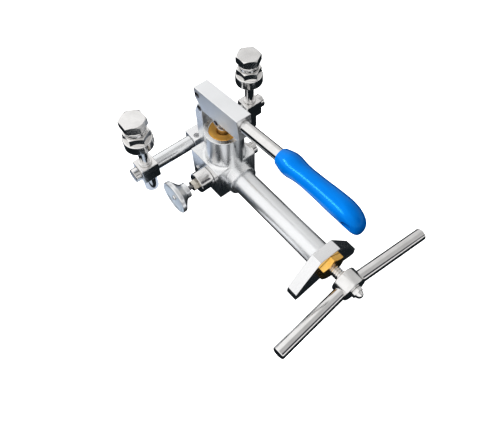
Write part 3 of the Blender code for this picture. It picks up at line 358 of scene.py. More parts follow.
blockFinish = satinMetal("milledBlock", castAluminiumLook, (1.0, 1.0, 0.12))
footLook = dict(castAluminiumLook, light=(0.92, 0.92, 0.92), dark=(0.88, 0.88, 0.89),
                roughness=(0.22, 0.28), strength=0.06)
footFinish = satinMetal("milledFoot", footLook, (0.12, 1.0, 1.0))
barFinish = satinMetal("blastedLever", anodisedLook, (1.0, 0.25, 1.0))
tubeFinish = satinMetal("anodisedTube", dict(anodisedLook, roughness=(0.30, 0.37)), (1.0, 0.08, 1.0))
armLook = dict(anodisedLook, roughness=(0.24, 0.28), lineScale=2400.0, strength=0.03)
armFinish = turnedMetal("turnedArm", armLook, 0, armCentre)
# the manifold screws' steel is painted darker all over, as painted shade so their shallow sockets read dark
screwShadedLook = dict(steelLook, light=(0.60, 0.60, 0.61), dark=(0.50, 0.50, 0.51))
screwShadedFinish = satinMetal("screwPaintedSocketShade", screwShadedLook, (1, 1, 1))
fittingLook = dict(steelLook, roughness=(0.16, 0.26), lineScale=500.0)
fittingFinish = satinMetal("groundFitting", fittingLook, (0.1, 1.0, 1.0))
linkFinish = satinMetal("groundLink", dict(steelLook, lineScale=600.0), (1.0, 1.0, 0.15))
pressSteel = turnedMetal("turnedPressSteel", steelLook, 1, pressCentre)
rodSteel = turnedMetal("drawnRod", clearSteelLook, 0, rodCentre)
valveSteel = turnedMetal("turnedValveSteel", steelLook, 0, valveCentre)
plugSteel = turnedMetal("turnedPlugSteel", steelLook, 0, armCentre)
leftSteel = turnedMetal("turnedLeftConnector", clearSteelLook, 2, leftCentre)
rightSteel = turnedMetal("turnedRightConnector", clearSteelLook, 2, rightCentre)
# the pump rod's steel is painted darker than the other steel, as painted shade for the lever's slot
pumpShadedLook = dict(clearSteelLook, light=(0.50, 0.47, 0.45), dark=(0.40, 0.37, 0.35))
pumpSteelPaintedShade = turnedMetal("groundPumpRodPaintedShade", pumpShadedLook, 2, pumpCentre)
knobFinish = turnedMetal("turnedKnob", dict(anodisedLook, roughness=(0.28, 0.36)), 0, valveCentre)
stemLook = dict(steelLook, light=(0.32, 0.32, 0.33), dark=(0.22, 0.22, 0.23))
stemSteel = turnedMetal("darkStem", stemLook, 0, valveCentre)
pinLook = dict(steelLook, light=(0.42, 0.42, 0.43), dark=(0.30, 0.30, 0.31))
pinSteel = turnedMetal("darkPins", pinLook, 0, pinCentre)
guideLook = dict(brassLook, light=(1.0, 0.60, 0.17), dark=(0.92, 0.48, 0.10), metal=0.65)
guideBrass = turnedMetal("turnedGuideBrass", guideLook, 2, pumpCentre)
nutBrass = turnedMetal("turnedNutBrass", dict(brassLook, roughness=(0.16, 0.26)), 1, pressCentre)
glandNickel = turnedMetal("nickelledGland", nickelLook, 0, valveCentre)
gripPlastic = dippedPlastic("dippedBlueGrip", gripLook)
sealRubber = moulded("sealRubber", rubberLook)
print("finishes made")


# Pump block with its cylinder and boss

pumpBlockSizes = dict(
    half=30.0, front=-23.5, back=35.5, bottom=7.5, top=55.0, edge=0.9,
    column=25.0, columnTop=100.6, rim=0.9, flare=5.5,
    boss=21.0, bossFront=36.5, bossEdge=1.4, bossRoot=1.6,
    seat=16.3, seatDepth=15.0, seatMouth=2.4,
    bore=15.0, boreFloor=51.0, guideSeat=18.7, guideDepth=11.8,
    port=8.3, leftPortDepth=8.3, rightPortDepth=7.3, pressBore=9.0, pressBoreDepth=42.5,
    passage=2.0, plugHole=4.3, plugHoleDepth=6.3, plugSpot=(-30.0, 26.0, 24.0),
)


def makePumpBlock(s):
    half, front, back, bottom, top = [s[key] for key in ("half", "front", "back", "bottom", "top")]
    width, high, rim, round = s["column"], s["columnTop"], s["rim"], s["flare"]
    block = softened(slab((-half, front, bottom), (half, back, top)), s["edge"])
    column = turned([(width, pressHeight), (width, high - rim)]
                    + arc((width - rim, high - rim), rim, 15, 90, 5), 128)
    low, inside = top - s["edge"], width - 1.0
    curve = arc((width + round, top + round), round, 270, 180, 14)
    flare = turned([(inside, low), (curve[0][0], low)] + curve + [(inside, curve[-1][1])], 128, ring=True)
    margin = s["edge"] + 0.3
    limit = slab((-half + margin, front + margin, bottom), (half - margin, back - margin, high))
    flare = worked(flare, [limit], "INTERSECT")
    root = arc((s["boss"] + s["bossRoot"], s["bossRoot"] - front), s["bossRoot"], 270, 180, 6)
    end = roundedRim(s["boss"], s["bossFront"], s["bossEdge"])
    boss = onPress(turned([(s["boss"] + s["bossRoot"], 20.0)] + root + end, 128))
    body = worked(block, [column, flare, boss], "UNION")
    mouth, left, passage = (0, -s["bossFront"], pressHeight), (-half, 0, pressHeight), s["passage"]
    return worked(body, [
        drill(s["guideSeat"], s["guideDepth"], downward, (0, 0, high), 0.5, 96),
        drill(s["bore"], high - s["boreFloor"], downward, (0, 0, high), 0, 96),
        drill(s["seat"], s["seatDepth"], backward, mouth, s["seatMouth"], 96),
        drill(s["pressBore"], s["pressBoreDepth"], backward, mouth),
        drill(s["port"], s["leftPortDepth"], outRight, left, 0.4),
        drill(s["port"], s["rightPortDepth"], outLeft, (half, 0, pressHeight), 0.4),
        drill(s["plugHole"], s["plugHoleDepth"], outRight, s["plugSpot"], 0.5, 32),
        drill(passage, s["boreFloor"] - pressHeight, downward, (0, 0, s["boreFloor"]), 0, 16),
        drill(passage, half * 2 + 3, outRight, left, 0, 16),
        drill(passage, back, forward, (0, back, armHeight), 0, 16),
    ])


finishPiece("pumpBlock", makePumpBlock(pumpBlockSizes), blockFinish, "pump_block")

guideSizes = dict(inner=8.1, outer=18.4, low=88.9, top=100.3, mouth=2.0, edge=0.5)


def makeGuideRing(s):
    inner, top, mouth = s["inner"], s["top"], s["mouth"]
    return turned([(inner, s["low"])] + edgedSide(s["outer"], s["low"], top, s["edge"])
                  + [(inner + mouth + 0.2, top), (inner + mouth - 0.2, top - 0.25), (inner, top - mouth)],
                  128, ring=True)


finishPiece("guideRing", makeGuideRing(guideSizes), guideBrass, "guide_ring")

blindPlugSizes = dict(radius=4.0, depth=6.0, proud=1.6, socket=4.4, socketDepth=2.5)


def makeBlindPlug(s):
    plug = softened(rod(s["radius"], -s["depth"], s["proud"], 48), 0.5)
    plug = worked(plug, [hexBar(s["socket"], s["proud"] - s["socketDepth"], s["proud"] + past)])
    return placed(plug, outLeft, pumpBlockSizes["plugSpot"])


finishPiece("blindPlug", makeBlindPlug(blindPlugSizes), valveSteel, "block_blind_plug")
print("pump block done")


# Screw press

tubeSizes = dict(inner=12.0, outer=16.0, back=21.8, front=185.8, edge=0.5)


def makePressTube(s):
    side = edgedSide(s["outer"], s["back"], s["front"], s["edge"])
    return onPress(turned([(s["inner"], s["back"])] + side + [(s["inner"], s["front"])], 128, ring=True))


finishPiece("pressTube", makePressTube(tubeSizes), tubeFinish, "press_tube")

footSizes = dict(
    halfSpan=49.4, padWidth=7.0, archHalf=10.0, archHeight=7.5, endHeight=12.5,
    topHalf=15.2, top=52.7, back=178.6, front=194.0, edge=0.8,
    seat=16.3, seatDepth=7.5, throat=12.0,
)


def makeFootPlate(s):
    span, pad, arch = s["halfSpan"], s["halfSpan"] - s["padWidth"], s["archHalf"]
    outline = [(-span, 0.0), (-pad, 0.0), (-arch, s["archHeight"]), (arch, s["archHeight"]), (pad, 0.0),
               (span, 0.0), (span, s["endHeight"]), (s["topHalf"], s["top"]), (-s["topHalf"], s["top"]),
               (-span, s["endHeight"])]
    plate = extruded(outline, s["back"], s["front"])
    bmesh.ops.rotate(plate, verts=plate.verts, cent=(0, 0, 0), matrix=Matrix.Rotation(-math.pi / 2, 3, "Z"))
    plate = softened(plate, s["edge"], angle=10)
    start = (0, -s["back"], pressHeight)
    return worked(plate, [drill(s["seat"], s["seatDepth"], forward, start, 0.5, 96),
                          drill(s["throat"], 20.0, forward, start, 0, 96)])


finishPiece("footPlate", makeFootPlate(footSizes), footFinish, "foot_plate")

pressNutSizes = dict(
    flats=32.0, back=194.3, front=201.8, chamfer=1.8, spigot=11.7, spigotEnd=177.8,
    bore=7.3, edge=0.35,
)


def makePressNut(s):
    head = roundedHex(s["flats"], s["back"], s["front"], s["chamfer"])
    nut = worked(head, [rod(s["spigot"], s["spigotEnd"], s["back"] + past)], "UNION")
    bore, front = s["bore"], s["front"]
    mouth = turned([(bore, s["spigotEnd"] - past), (bore, front - 1.2), (bore + 1.6, front + 0.4),
                    (bore + 1.6, front + 3)], 64)
    return onPress(softened(worked(nut, [mouth]), s["edge"], 2, 12))


finishPiece("pressNut", makePressNut(pressNutSizes), nutBrass, "press_nut")

spindleSizes = dict(
    crest=7.0, root=5.6, pitch=3.0, steps=32, threadFrom=93.8, threadTo=215.8,
    shank=5.0, inner=61.0, outer=241.6,
)


def makeSpindle(s):
    # one pitch of the thread's outline wound up a helix; each turn's end meets the next one's start
    turns = math.ceil((s["threadTo"] - s["threadFrom"]) / s["pitch"]) + 2
    shape = bmesh.new()
    outline = [(s["root"], 0.0), (s["root"], 0.18), (s["crest"] - 0.08, 0.40), (s["crest"], 0.48),
               (s["crest"], 0.70), (s["crest"] - 0.08, 0.78), (s["root"], 1.0)]
    points = [shape.verts.new((radius, 0.0, s["threadFrom"] - s["pitch"] + share * s["pitch"]))
              for radius, share in outline]
    lines = [shape.edges.new(pair) for pair in zip(points, points[1:])]
    bmesh.ops.spin(shape, geom=points + lines, cent=(0, 0, 0), axis=(0, 0, 1), angle=math.tau * turns,
                   dvec=(0, 0, s["pitch"] / s["steps"]), steps=s["steps"] * turns, use_merge=False,
                   use_duplicate=False)
    bmesh.ops.remove_doubles(shape, verts=shape.verts, dist=0.01)
    for height, normal in ((s["threadFrom"], (0, 0, -1)), (s["threadTo"], (0, 0, 1))):
        geom = shape.verts[:] + shape.edges[:] + shape.faces[:]
        bmesh.ops.bisect_plane(shape, geom=geom, plane_co=(0, 0, height), plane_no=normal, clear_outer=True)
    bmesh.ops.holes_fill(shape, edges=[edge for edge in shape.edges if edge.is_boundary], sides=0)
    bmesh.ops.recalc_face_normals(shape, faces=shape.faces)
    shank = softened(rod(s["shank"], s["inner"], s["outer"], 48), 0.4)
    return onPress(worked(shape, [shank], "UNION"))


finishPiece("pressSpindle", makeSpindle(spindleSizes), pressSteel, "press_spindle", "press_screw", sharp=40)

hubSizes = dict(
    radius=17.0, back=216.1, front=236.7, edge=1.6, bore=5.3, rod=7.75, rodGap=0.3,
    socketFrom=8.5, rodReach=115.0, rodEdge=1.5, sweep=math.radians(4.4),
)
rodAims = {"Left": (-math.cos(hubSizes["sweep"]), -math.sin(hubSizes["sweep"]), 0),
           "Right": (math.cos(hubSizes["sweep"]), -math.sin(hubSizes["sweep"]), 0)}
handleSpot = (0, -handleOut, pressHeight)


def makeHub(s):
    hub = onPress(softened(rod(s["radius"], s["back"], s["front"], 128), s["edge"], 3))
    sockets = [placed(rod(s["rod"] + s["rodGap"], s["socketFrom"], s["radius"] + 4), aim, handleSpot)
               for aim in rodAims.values()]
    return worked(hub, sockets + [onPress(rod(s["bore"], s["back"] - past, s["front"] + past, 48))])


def makeTeeRod(s, aim):
    end = roundedRim(s["rod"], s["rodReach"], s["rodEdge"])
    bar = turned([(s["rod"] - 0.6, s["socketFrom"] + 0.3), (s["rod"], s["socketFrom"] + 0.9)] + end)
    return placed(bar, aim, handleSpot)


finishPiece("teeHub", makeHub(hubSizes), pressSteel, "tee_hub", "press_screw")
for side, aim in rodAims.items():
    bar = makeTeeRod(hubSizes, aim)
    finishPiece("teeRod" + side, bar, rodSteel, "tee_rod_" + side.lower(), "press_screw")

capNutSizes = dict(flats=13.0, back=237.0, length=4.9, dome=5.4, domeLength=6.0, bore=5.3)


def makeCapNut(s):
    top = s["back"] + s["length"]
    nut = softened(roundedHex(s["flats"], s["back"], top, 0.8, True), 0.2, 2, 12)
    dome = turned([(s["dome"], top - 1.0), (s["dome"], top)]
                  + [(s["dome"] * math.cos(a), top + s["domeLength"] * math.sin(a))
                     for a in [math.radians(90) * step / 10 for step in range(1, 11)]], 64)
    nut = worked(worked(nut, [dome], "UNION"), [rod(s["bore"], s["back"] - past, top + 0.3, 48)])
    return onPress(nut)


finishPiece("hubCapNut", makeCapNut(capNutSizes), pressSteel, "hub_cap_nut", "press_screw")
print("screw press done")


# Rear manifold, arms, fittings and legs

manifoldSizes = dict(
    half=16.0, stock=12.0, edge=0.8, spigot=6.3, spigotDepth=4.3, screwSide=8.2,
    screwBehind=52.8, screwHead=4.2, headHeight=4.5, recess=0.6, shank=2.5,
    shankLength=9.0, socket=4.4, socketDepth=2.5, passage=2.0,
)


def armBlock(middle, half, stock, edge):
    low = (middle - half, armBehind - stock, armHeight - stock)
    return softened(slab(low, (middle + half, armBehind + stock, armHeight + stock)), edge)


def makeManifold(s):
    half, stock, top = s["half"], s["stock"], armHeight + s["stock"]
    depth = s["recess"] + s["headHeight"] + seam
    tools = []
    for side in (-1, 1):
        tools.append(drill(s["spigot"], s["spigotDepth"], (-side, 0, 0), (side * half, armBehind, armHeight)))
        seat = (side * s["screwSide"], s["screwBehind"], top)
        tools.append(drill(s["screwHead"] + seam, depth, downward, seat, 0.3, 40))
        tools.append(drill(s["shank"] + seam, depth + s["shankLength"], downward, seat, 0, 24))
    tools.append(drill(s["passage"], half * 2 + 3, outRight, (-half, armBehind, armHeight), 0, 16))
    tools.append(drill(s["passage"], stock, backward, (0, armBehind - stock, armHeight), 0, 16))
    return worked(armBlock(0, half, stock, s["edge"]), tools)


def makeManifoldScrew(s, side):
    low = -s["recess"] - s["headHeight"]
    screw = turned([(s["shank"], low - s["shankLength"]), (s["shank"], low), (s["screwHead"], low)]
                   + roundedRim(s["screwHead"], -s["recess"], 0.5, 4), 64)
    screw = worked(screw, [hexBar(s["socket"], -s["recess"] - s["socketDepth"], 2.0)])
    return placed(screw, upward, (side * s["screwSide"], s["screwBehind"], armHeight + s["stock"]))


finishPiece("manifoldBlock", makeManifold(manifoldSizes), footFinish, "manifold_block")
for side, word in ((-1, "left"), (1, "right")):
    screw = makeManifoldScrew(manifoldSizes, side)
    finishPiece("manifoldScrew" + word.title(), screw, screwShadedFinish, "manifold_screw_" + word)

armSizes = dict(
    radius=9.4, bore=2.5, spigot=6.0, spigotLength=4.0, inner=16.3, outer=74.6, edge=0.5,
    fittingHalf=12.4, stock=12.0, fittingEdge=0.8, seatDepth=4.3, pipeSeat=6.6,
    pipeSeatDepth=5.3, pipeBoreDepth=14.5, crossBore=1.25, plugReach=8.7, legRound=2.8,
)


def makeArm(s, side):
    bore, spigot = s["bore"], s["spigot"]
    inner, outer = s["inner"] - s["spigotLength"], s["outer"] + s["spigotLength"]
    bar = turned([(bore, inner), (spigot, inner), (spigot, s["inner"])]
                 + edgedSide(s["radius"], s["inner"], s["outer"], s["edge"])
                 + [(spigot, s["outer"]), (spigot, outer), (bore, outer)], 96, ring=True)
    return placed(bar, (side, 0, 0), armSpot)


def makeFitting(s, side):
    middle, half, stock = side * connectorSide, s["fittingHalf"], s["stock"]
    bottom, top = armHeight - stock, armHeight + stock
    seat, depth = s["spigot"] + seam, s["seatDepth"]
    tools = [drill(seat, depth, (-aim, 0, 0), (middle + aim * half, armBehind, armHeight)) for aim in (-1, 1)]
    tools += [
        drill(seat, depth, upward, (middle, armBehind, bottom)),
        drill(s["pipeSeat"], s["pipeSeatDepth"], downward, (middle, armBehind, top), 0.4),
        drill(s["bore"], s["pipeBoreDepth"], downward, (middle, armBehind, top), 0, 24),
        drill(s["crossBore"], half, (side, 0, 0), (middle - side * half, armBehind, armHeight), 0, 16),
    ]
    return worked(armBlock(middle, half, stock, s["fittingEdge"]), tools)


def makeEndPlug(s, side):
    radius, reach = s["radius"], connectorSide + s["fittingHalf"]
    plug = turned([(s["spigot"], reach - s["spigotLength"]), (s["spigot"], reach + seam),
                   (radius - 0.3, reach + seam), (radius, reach + 0.6)]
                  + roundedRim(radius, reach + s["plugReach"], 1.0, 4), 96)
    return placed(plug, (side, 0, 0), armSpot)


def makeLeg(s, side):
    radius, spigot, under = s["radius"], s["spigot"], armHeight - s["stock"]
    foot = arc((radius - s["legRound"], s["legRound"]), s["legRound"], 270, 360, 6)
    leg = turned(foot + [(radius, under - 0.8), (radius - 0.5, under - seam), (spigot, under - seam),
                         (spigot, under + s["spigotLength"])])
    return atConnector(leg, side)


standpipeSizes = dict(
    bore=2.5, radius=6.3, seat=5.0, ring=8.8, ringHeight=3.2, ringRound=0.8,
    flange=9.6, flangeLow=88.9, flangeHigh=93.9,
)


def makeStandpipe(s, side):
    bore, radius, flange, low, high = s["bore"], s["radius"], s["flange"], s["flangeLow"], s["flangeHigh"]
    top = armHeight + armSizes["stock"]
    ring = roundedRim(s["ring"], top + s["ringHeight"], s["ringRound"])
    foot = arc((radius + 0.8, top + s["ringHeight"] + 0.8), 0.8, 270, 180, 4)
    pipe = turned([(bore, top - s["seat"]), (radius, top - s["seat"]), (radius, top + seam),
                   (s["ring"] - 0.3, top + seam), (s["ring"], top + 0.6)] + ring + foot
                  + [(radius, low), (flange, low), (flange, high - 0.4), (flange - 0.4, high), (bore, high)],
                  96, ring=True)
    return atConnector(pipe, side)


collarSizes = dict(
    bottom=85.6, radius=18.8, roundHeight=14.4, round=2.2, rim=2.0, flats=30.0,
    nutSunk=3.2, top=109.6, chamfer=1.8, lip=3.0, throat=6.6, thread=10.2,
)


def makeCollar(s, side):
    radius, bottom, top, thread = s["radius"], s["bottom"], s["top"], s["thread"]
    drumTop, lip = bottom + s["roundHeight"], bottom + s["lip"]
    lower = arc((radius - s["round"], bottom + s["round"]), s["round"], 270, 360, 6)
    drum = turned(lower + roundedRim(radius, drumTop, s["rim"]), 128)
    nut = softened(roundedHex(s["flats"], drumTop - s["nutSunk"], top, s["chamfer"]), 0.35, 2, 12)
    mouth = turned([(s["throat"], bottom - past), (s["throat"], lip), (thread, lip), (thread, top - 0.8),
                    (thread + 1.0, top + 0.2), (thread + 1.0, top + 3)], 64)
    return atConnector(worked(worked(drum, [nut], "UNION"), [mouth]), side)


plugSizes = dict(
    flats=30.0, low=119.0, top=129.7, chamfer=1.8, neck=13.6, neckLow=109.9,
    neckHeight=4.2, waist=11.8, screw=9.9, screwLow=96.5,
)


def makePlug(s, side):
    neck, neckLow, screw, waist = s["neck"], s["neckLow"], s["screw"], s["waist"]
    neckTop = neckLow + s["neckHeight"]
    head = roundedHex(s["flats"], s["low"], s["top"], s["chamfer"], True)
    stem = turned([(screw - 0.8, s["screwLow"]), (screw, s["screwLow"] + 0.8), (screw, neckLow),
                   (neck - 0.4, neckLow), (neck, neckLow + 0.4)] + roundedRim(neck, neckTop, 0.8, 4)
                  + [(waist + 0.5, neckTop), (waist, neckTop + 0.5), (waist, s["low"] + 1)])
    return atConnector(softened(worked(head, [stem], "UNION"), 0.35, 2, 12), side)


for side, word, steel in ((-1, "left", leftSteel), (1, "right", rightSteel)):
    title = word.title()
    finishPiece("arm" + title, makeArm(armSizes, side), armFinish, word + "_arm")
    finishPiece("fitting" + title, makeFitting(armSizes, side), fittingFinish, word + "_fitting")
    finishPiece("endPlug" + title, makeEndPlug(armSizes, side), plugSteel, word + "_end_plug")
    finishPiece("leg" + title, makeLeg(armSizes, side), steel, word + "_leg")
    finishPiece("standpipe" + title, makeStandpipe(standpipeSizes, side), steel, word + "_standpipe")
    finishPiece("collar" + title, makeCollar(collarSizes, side), steel, word + "_collar", word + "_collar")
    finishPiece("plug" + title, makePlug(plugSizes, side), steel, word + "_plug", word + "_plug")
print("cross arms and connectors done")


# Pivot bracket, rocker link and pins

bracketSizes = dict(
    half=9.5, front=31.0, blockBack=35.8, back=45.8, bottom=30.0, step=55.3,
    shoulder=104.0, fulcrum=(34.5, 115.4), ear=5.4, gap=4.8, gapFloor=106.0, hole=2.9,
    edge=0.6, passage=2.0,
)
fulcrumSpot = (0, *bracketSizes["fulcrum"])


def makeBracket(s):
    outline = [(s["blockBack"], s["bottom"]), (s["back"], s["bottom"]), (s["back"], s["shoulder"])]
    outline += arc(s["fulcrum"], s["ear"], 30, 170, 18)
    outline += [(s["front"], s["shoulder"]), (s["front"], s["step"]), (s["blockBack"], s["step"])]
    plate = softened(extruded(outline, -s["half"], s["half"]), s["edge"], angle=20)
    gap = slab((-s["gap"], s["front"] - 5, s["gapFloor"]), (s["gap"], s["back"] + 5, s["fulcrum"][1] + 12))
    hole = crossRod(s["hole"], 14, fulcrumSpot)
    passage = placed(rod(s["passage"], 25, 60, 16), backward, (0, 0, armHeight))
    return worked(plate, [gap, hole, passage])


finishPiece("pivotBracket", makeBracket(bracketSizes), blockFinish, "pivot_bracket")

linkSizes = dict(half=4.3, foot=5.0, head=5.6, bar=3.4, pinHole=2.9, headHole=4.0)
rearPin = (0.0, 32.7, 22.8)  # in the lever's frame


def makeLink(s):
    foot = Vector(fulcrumSpot)
    head = leverFrame @ Vector(rearPin)
    length = (head - foot).length
    outline = arc((0, 0), s["foot"], 130, 410, 24) + [(s["bar"], length / 2)]
    outline += arc((0, length), s["head"], -50, 230, 24) + [(-s["bar"], length / 2)]
    link = softened(extruded(outline, -s["half"], s["half"]), 0.4, 2, 40)
    link = worked(link, [crossRod(s["pinHole"], 8), crossRod(s["headHole"], 8, (0, 0, length))])
    lean = math.atan2(-(head - foot).y, (head - foot).z)
    place = Matrix.Translation(foot) @ Matrix.Rotation(lean, 4, "X")
    bmesh.ops.transform(link, matrix=place, verts=link.verts)
    return link


finishPiece("rockerLink", makeLink(linkSizes), linkFinish, "rocker_link", "rocker")

pinSizes = dict(
    fulcrum=dict(half=9.5, radius=2.6, head=3.9),
    rod=dict(half=10.3, radius=3.0, head=4.0), rear=dict(half=10.3, radius=2.6, head=3.9),
    headHeight=1.2,
)


def makePin(s, spot):
    low, high, head = s["half"] + seam, s["half"] + seam + pinSizes["headHeight"], s["head"]
    rise = high - low - 0.25
    ball = (head ** 2 + rise ** 2) / (2 * rise)  # the head is the cap of a ball
    cap = [(head * step / 8, low + 0.25 + rise - ball + math.sqrt(ball ** 2 - (head * step / 8) ** 2))
           for step in range(8, -1, -1)]
    end = [(s["radius"], low), (head - 0.2, low)] + cap
    profile = [(radius, -height) for radius, height in reversed(end)] + end
    return placed(turned(profile, 48), outRight, spot)


finishPiece("fulcrumPin", makePin(pinSizes["fulcrum"], fulcrumSpot), pinSteel, "fulcrum_pin")
finishPiece("rodPin", makePin(pinSizes["rod"], (0, 0, 0)), pinSteel, "rod_pin", "lever")
finishPiece("rearPin", makePin(pinSizes["rear"], rearPin), pinSteel, "rear_pin", "lever")
print("pivots done")


# Lever: bar, rod and grip, in the lever's own frame

leverSizes = dict(
    half=10.3, rear=38.5, front=-44.3, floor=2.0, height=29.5, cutRise=14.5,
    cutRun=11.2, edge=0.8, ear=5.5, slot=5.2, slotFront=-12.0, roof=1.6,
    rodHole=7.75, rodDepth=20.3, rodRise=19.0, rodMouth=1.2, rod=7.45, rodInner=24.3,
    rodOuter=196.0, rodMiddle=152.0, rodPinHole=3.3, rearPinHole=2.9,
)


def makeLeverBar(s):
    half, front, rear, floor = s["half"], s["front"], s["rear"], s["floor"]
    top = floor + s["height"]
    outline = [(front, floor), (rear - s["cutRun"], floor), (rear, floor + s["cutRise"]), (rear, top),
               (front, top)]
    bar = softened(extruded(outline, -half, half), s["edge"], 3, 20)
    bar = worked(bar, [crossRod(s["ear"], half, segments=64)], "UNION")
    return worked(bar, [
        slab((-s["slot"], s["slotFront"], -20), (s["slot"], rear + 3, top - s["roof"])),
        crossRod(s["rodPinHole"], 14),
        crossRod(s["rearPinHole"], 14, rearPin),
        drill(s["rodHole"], s["rodDepth"], backward, (0, front, s["rodRise"]), s["rodMouth"], 96),
    ])


finishPiece("leverBar", makeLeverBar(leverSizes), barFinish, "lever_bar", "lever")


def makeLeverRod(s):
    bar = softened(rod(s["rod"], s["rodInner"], s["rodOuter"]), 0.6)
    return placed(bar, forward, (0, 0, s["rodRise"]))


leverRodFinish = turnedMetal("drawnLeverRod", clearSteelLook, 1, (0.0, 0.0, leverSizes["rodMiddle"] * mm))
finishPiece("leverRod", makeLeverRod(leverSizes), leverRodFinish, "lever_rod", "lever")

gripSizes = dict(
    start=105.5, end=222.0, rodHole=7.75, rodEnd=196.3, drop=4.0, endDrop=8.0,
    endDropFrom=0.78, holeFromEnd=12.0, holeWide=6.4, holeLong=10.0,
    # places along the grip as shares of its length, and the radius there
    profile=[(0.0, 9.2), (0.004, 10.2), (0.03, 10.9), (0.07, 12.2), (0.12, 13.35), (0.17, 13.3),
                (0.22, 12.2), (0.28, 11.2), (0.36, 11.0), (0.48, 11.3), (0.60, 12.0), (0.72, 12.6),
                (0.82, 12.6), (0.89, 12.0), (0.94, 10.9), (0.98, 8.6), (1.0, 4.8), (1.0, 0.0)],
)


def gripSag(s, distance):
    share = max((distance - s["start"]) / (s["end"] - s["start"]), 0.0)
    endShare = max((share - s["endDropFrom"]) / (1 - s["endDropFrom"]), 0.0)
    return s["drop"] * share ** 2 + s["endDrop"] * endShare ** 2


def makeGrip(s):
    length = s["end"] - s["start"]
    shape = turned([(radius, s["start"] + share * length) for share, radius in s["profile"]], 40)
    stock = scratchObject(shape)
    smooth = stock.modifiers.new("smooth", "SUBSURF")
    smooth.levels = smooth.render_levels = 2
    grip = placed(evaluated(stock), forward)
    bpy.data.objects.remove(stock)
    for vert in grip.verts:
        vert.co.z -= gripSag(s, -vert.co.y)
    middle, wide = s["end"] - s["holeFromEnd"], s["holeWide"] / 2
    hole = turned([(wide + 1.0, -14), (wide + 1.0, -12.5), (wide, -10.5), (wide, 10.5), (wide + 1.0, 12.5),
                   (wide + 1.0, 14)], 40)
    for vert in hole.verts:
        vert.co.y += math.copysign((s["holeLong"] - s["holeWide"]) / 2, vert.co.y)
    grip = worked(grip, [placed(hole, outRight, (0, -middle, -gripSag(s, middle))),
                         placed(rod(s["rodHole"], s["start"] - 3, s["rodEnd"], 64), forward)])
    bmesh.ops.translate(grip, verts=grip.verts, vec=(0, 0, leverSizes["rodRise"]))
    return grip


leverGrip = finishPiece("leverGrip", makeGrip(gripSizes), gripPlastic, "lever_grip", "lever",
                        sharp=50)
leverGrip.visible_glossy = False  # the handle rods show no blue in the photograph
print("lever done")


# Pump rod

pumpRodSizes = dict(
    radius=7.8, bolt=4.0, boltLow=53.3, low=62.3, shoulder=106.5, edge=0.8,
    tongue=4.6, tongueRound=6.6, eye=3.3,
)


def makePumpRod(s):
    radius, edge, shoulder = s["radius"], s["edge"], s["shoulder"]
    shaft = turned([(s["bolt"], s["boltLow"]), (s["bolt"], s["low"]), (radius, s["low"]),
                    (radius, shoulder - edge), (radius - edge, shoulder)])
    outline = [(-s["tongueRound"], shoulder - 1.5), (s["tongueRound"], shoulder - 1.5)]
    outline += arc((0, leverPin[2]), s["tongueRound"], 0, 180, 24)
    tongue = softened(extruded(outline, -s["tongue"], s["tongue"]), 0.3, 2, 40)
    return worked(worked(shaft, [tongue], "UNION"), [crossRod(s["eye"], 8, leverPin)])


finishPiece("pumpRod", makePumpRod(pumpRodSizes), pumpSteelPaintedShade, "pump_rod", "pump_piston")


# Vent valve on the left, its knob and stem

valveSizes = dict(
    spigot=8.0, spigotLength=8.0, radius=14.0, length=19.7, edge=1.2, bore=3.4,
    glandFlats=13.0, glandLength=7.2, stem=3.0, stemLow=12.3, stemHigh=49.9, port=1.2,
    screwHole=1.8, screwDepth=6,
)
valveSpot = (-30.0, 0.0, pressHeight)


def makeValveBody(s):
    spigot, radius, depth = s["spigot"], s["radius"], s["spigotLength"]
    body = turned([(spigot, -depth), (spigot, seam), (radius - 0.4, seam), (radius, seam + 0.4)]
                  + roundedRim(radius, s["length"], s["edge"]), 128)
    holes = [rod(s["bore"], -depth / 2, s["length"] + past, 48), rod(s["port"], -depth - past, 0, 24)]
    return placed(worked(body, holes), outLeft, valveSpot)


def makeGland(s):
    low, high = s["length"] + seam, s["length"] + seam + s["glandLength"]
    gland = softened(roundedHex(s["glandFlats"], low, high, 1.4), 0.25, 2, 12)
    return placed(worked(gland, [rod(s["stem"] + seam, low - past, high + past, 48)]), outLeft, valveSpot)


def makeStem(s):
    stem = softened(rod(s["stem"], s["stemLow"], s["stemHigh"], 64), 0.3)
    hole = rod(s["screwHole"], s["stemHigh"] - s["screwDepth"], s["stemHigh"] + past, 32)
    return placed(worked(stem, [hole]), outLeft, valveSpot)


finishPiece("ventValveBody", makeValveBody(valveSizes), valveSteel, "vent_valve_body")
finishPiece("ventGland", makeGland(valveSizes), glandNickel, "vent_gland")
finishPiece("ventStem", makeStem(valveSizes), stemSteel, "vent_stem", "vent_knob")

knobSizes = dict(
    low=34.2, socket=3.3, socketTop=50.2, screwHole=1.8,
    # radius and distance from the knob's inner end
    profile=[(9.7, 0.0), (10.25, 0.25), (10.5, 0.8), (10.5, 4.9), (10.8, 6.0), (11.8, 7.5), (13.6, 9.3),
                (15.9, 11.2), (18.4, 13.1), (20.6, 14.6), (22.0, 15.6), (22.5, 16.3), (22.6, 17.0),
                (22.6, 20.4), (22.35, 21.2), (21.8, 21.75), (21.0, 22.0), (19.0, 22.0), (18.3, 21.8),
                (17.6, 21.2), (16.8, 20.6), (14.0, 20.2), (9.0, 19.9), (5.0, 19.8)],
    screwHead=3.4, screwHeight=2.2, screwShank=1.5, screwLength=7.0, screwSocket=3.0,
    faceAt=20.1,
)


def makeKnob(s):
    knob = turned([(radius, s["low"] + height) for radius, height in s["profile"]], 128)
    holes = [rod(s["socket"], s["low"] - past, s["socketTop"], 48),
             rod(s["screwHole"], s["socketTop"] - past, 60, 32)]
    return placed(worked(knob, holes), outLeft, valveSpot)


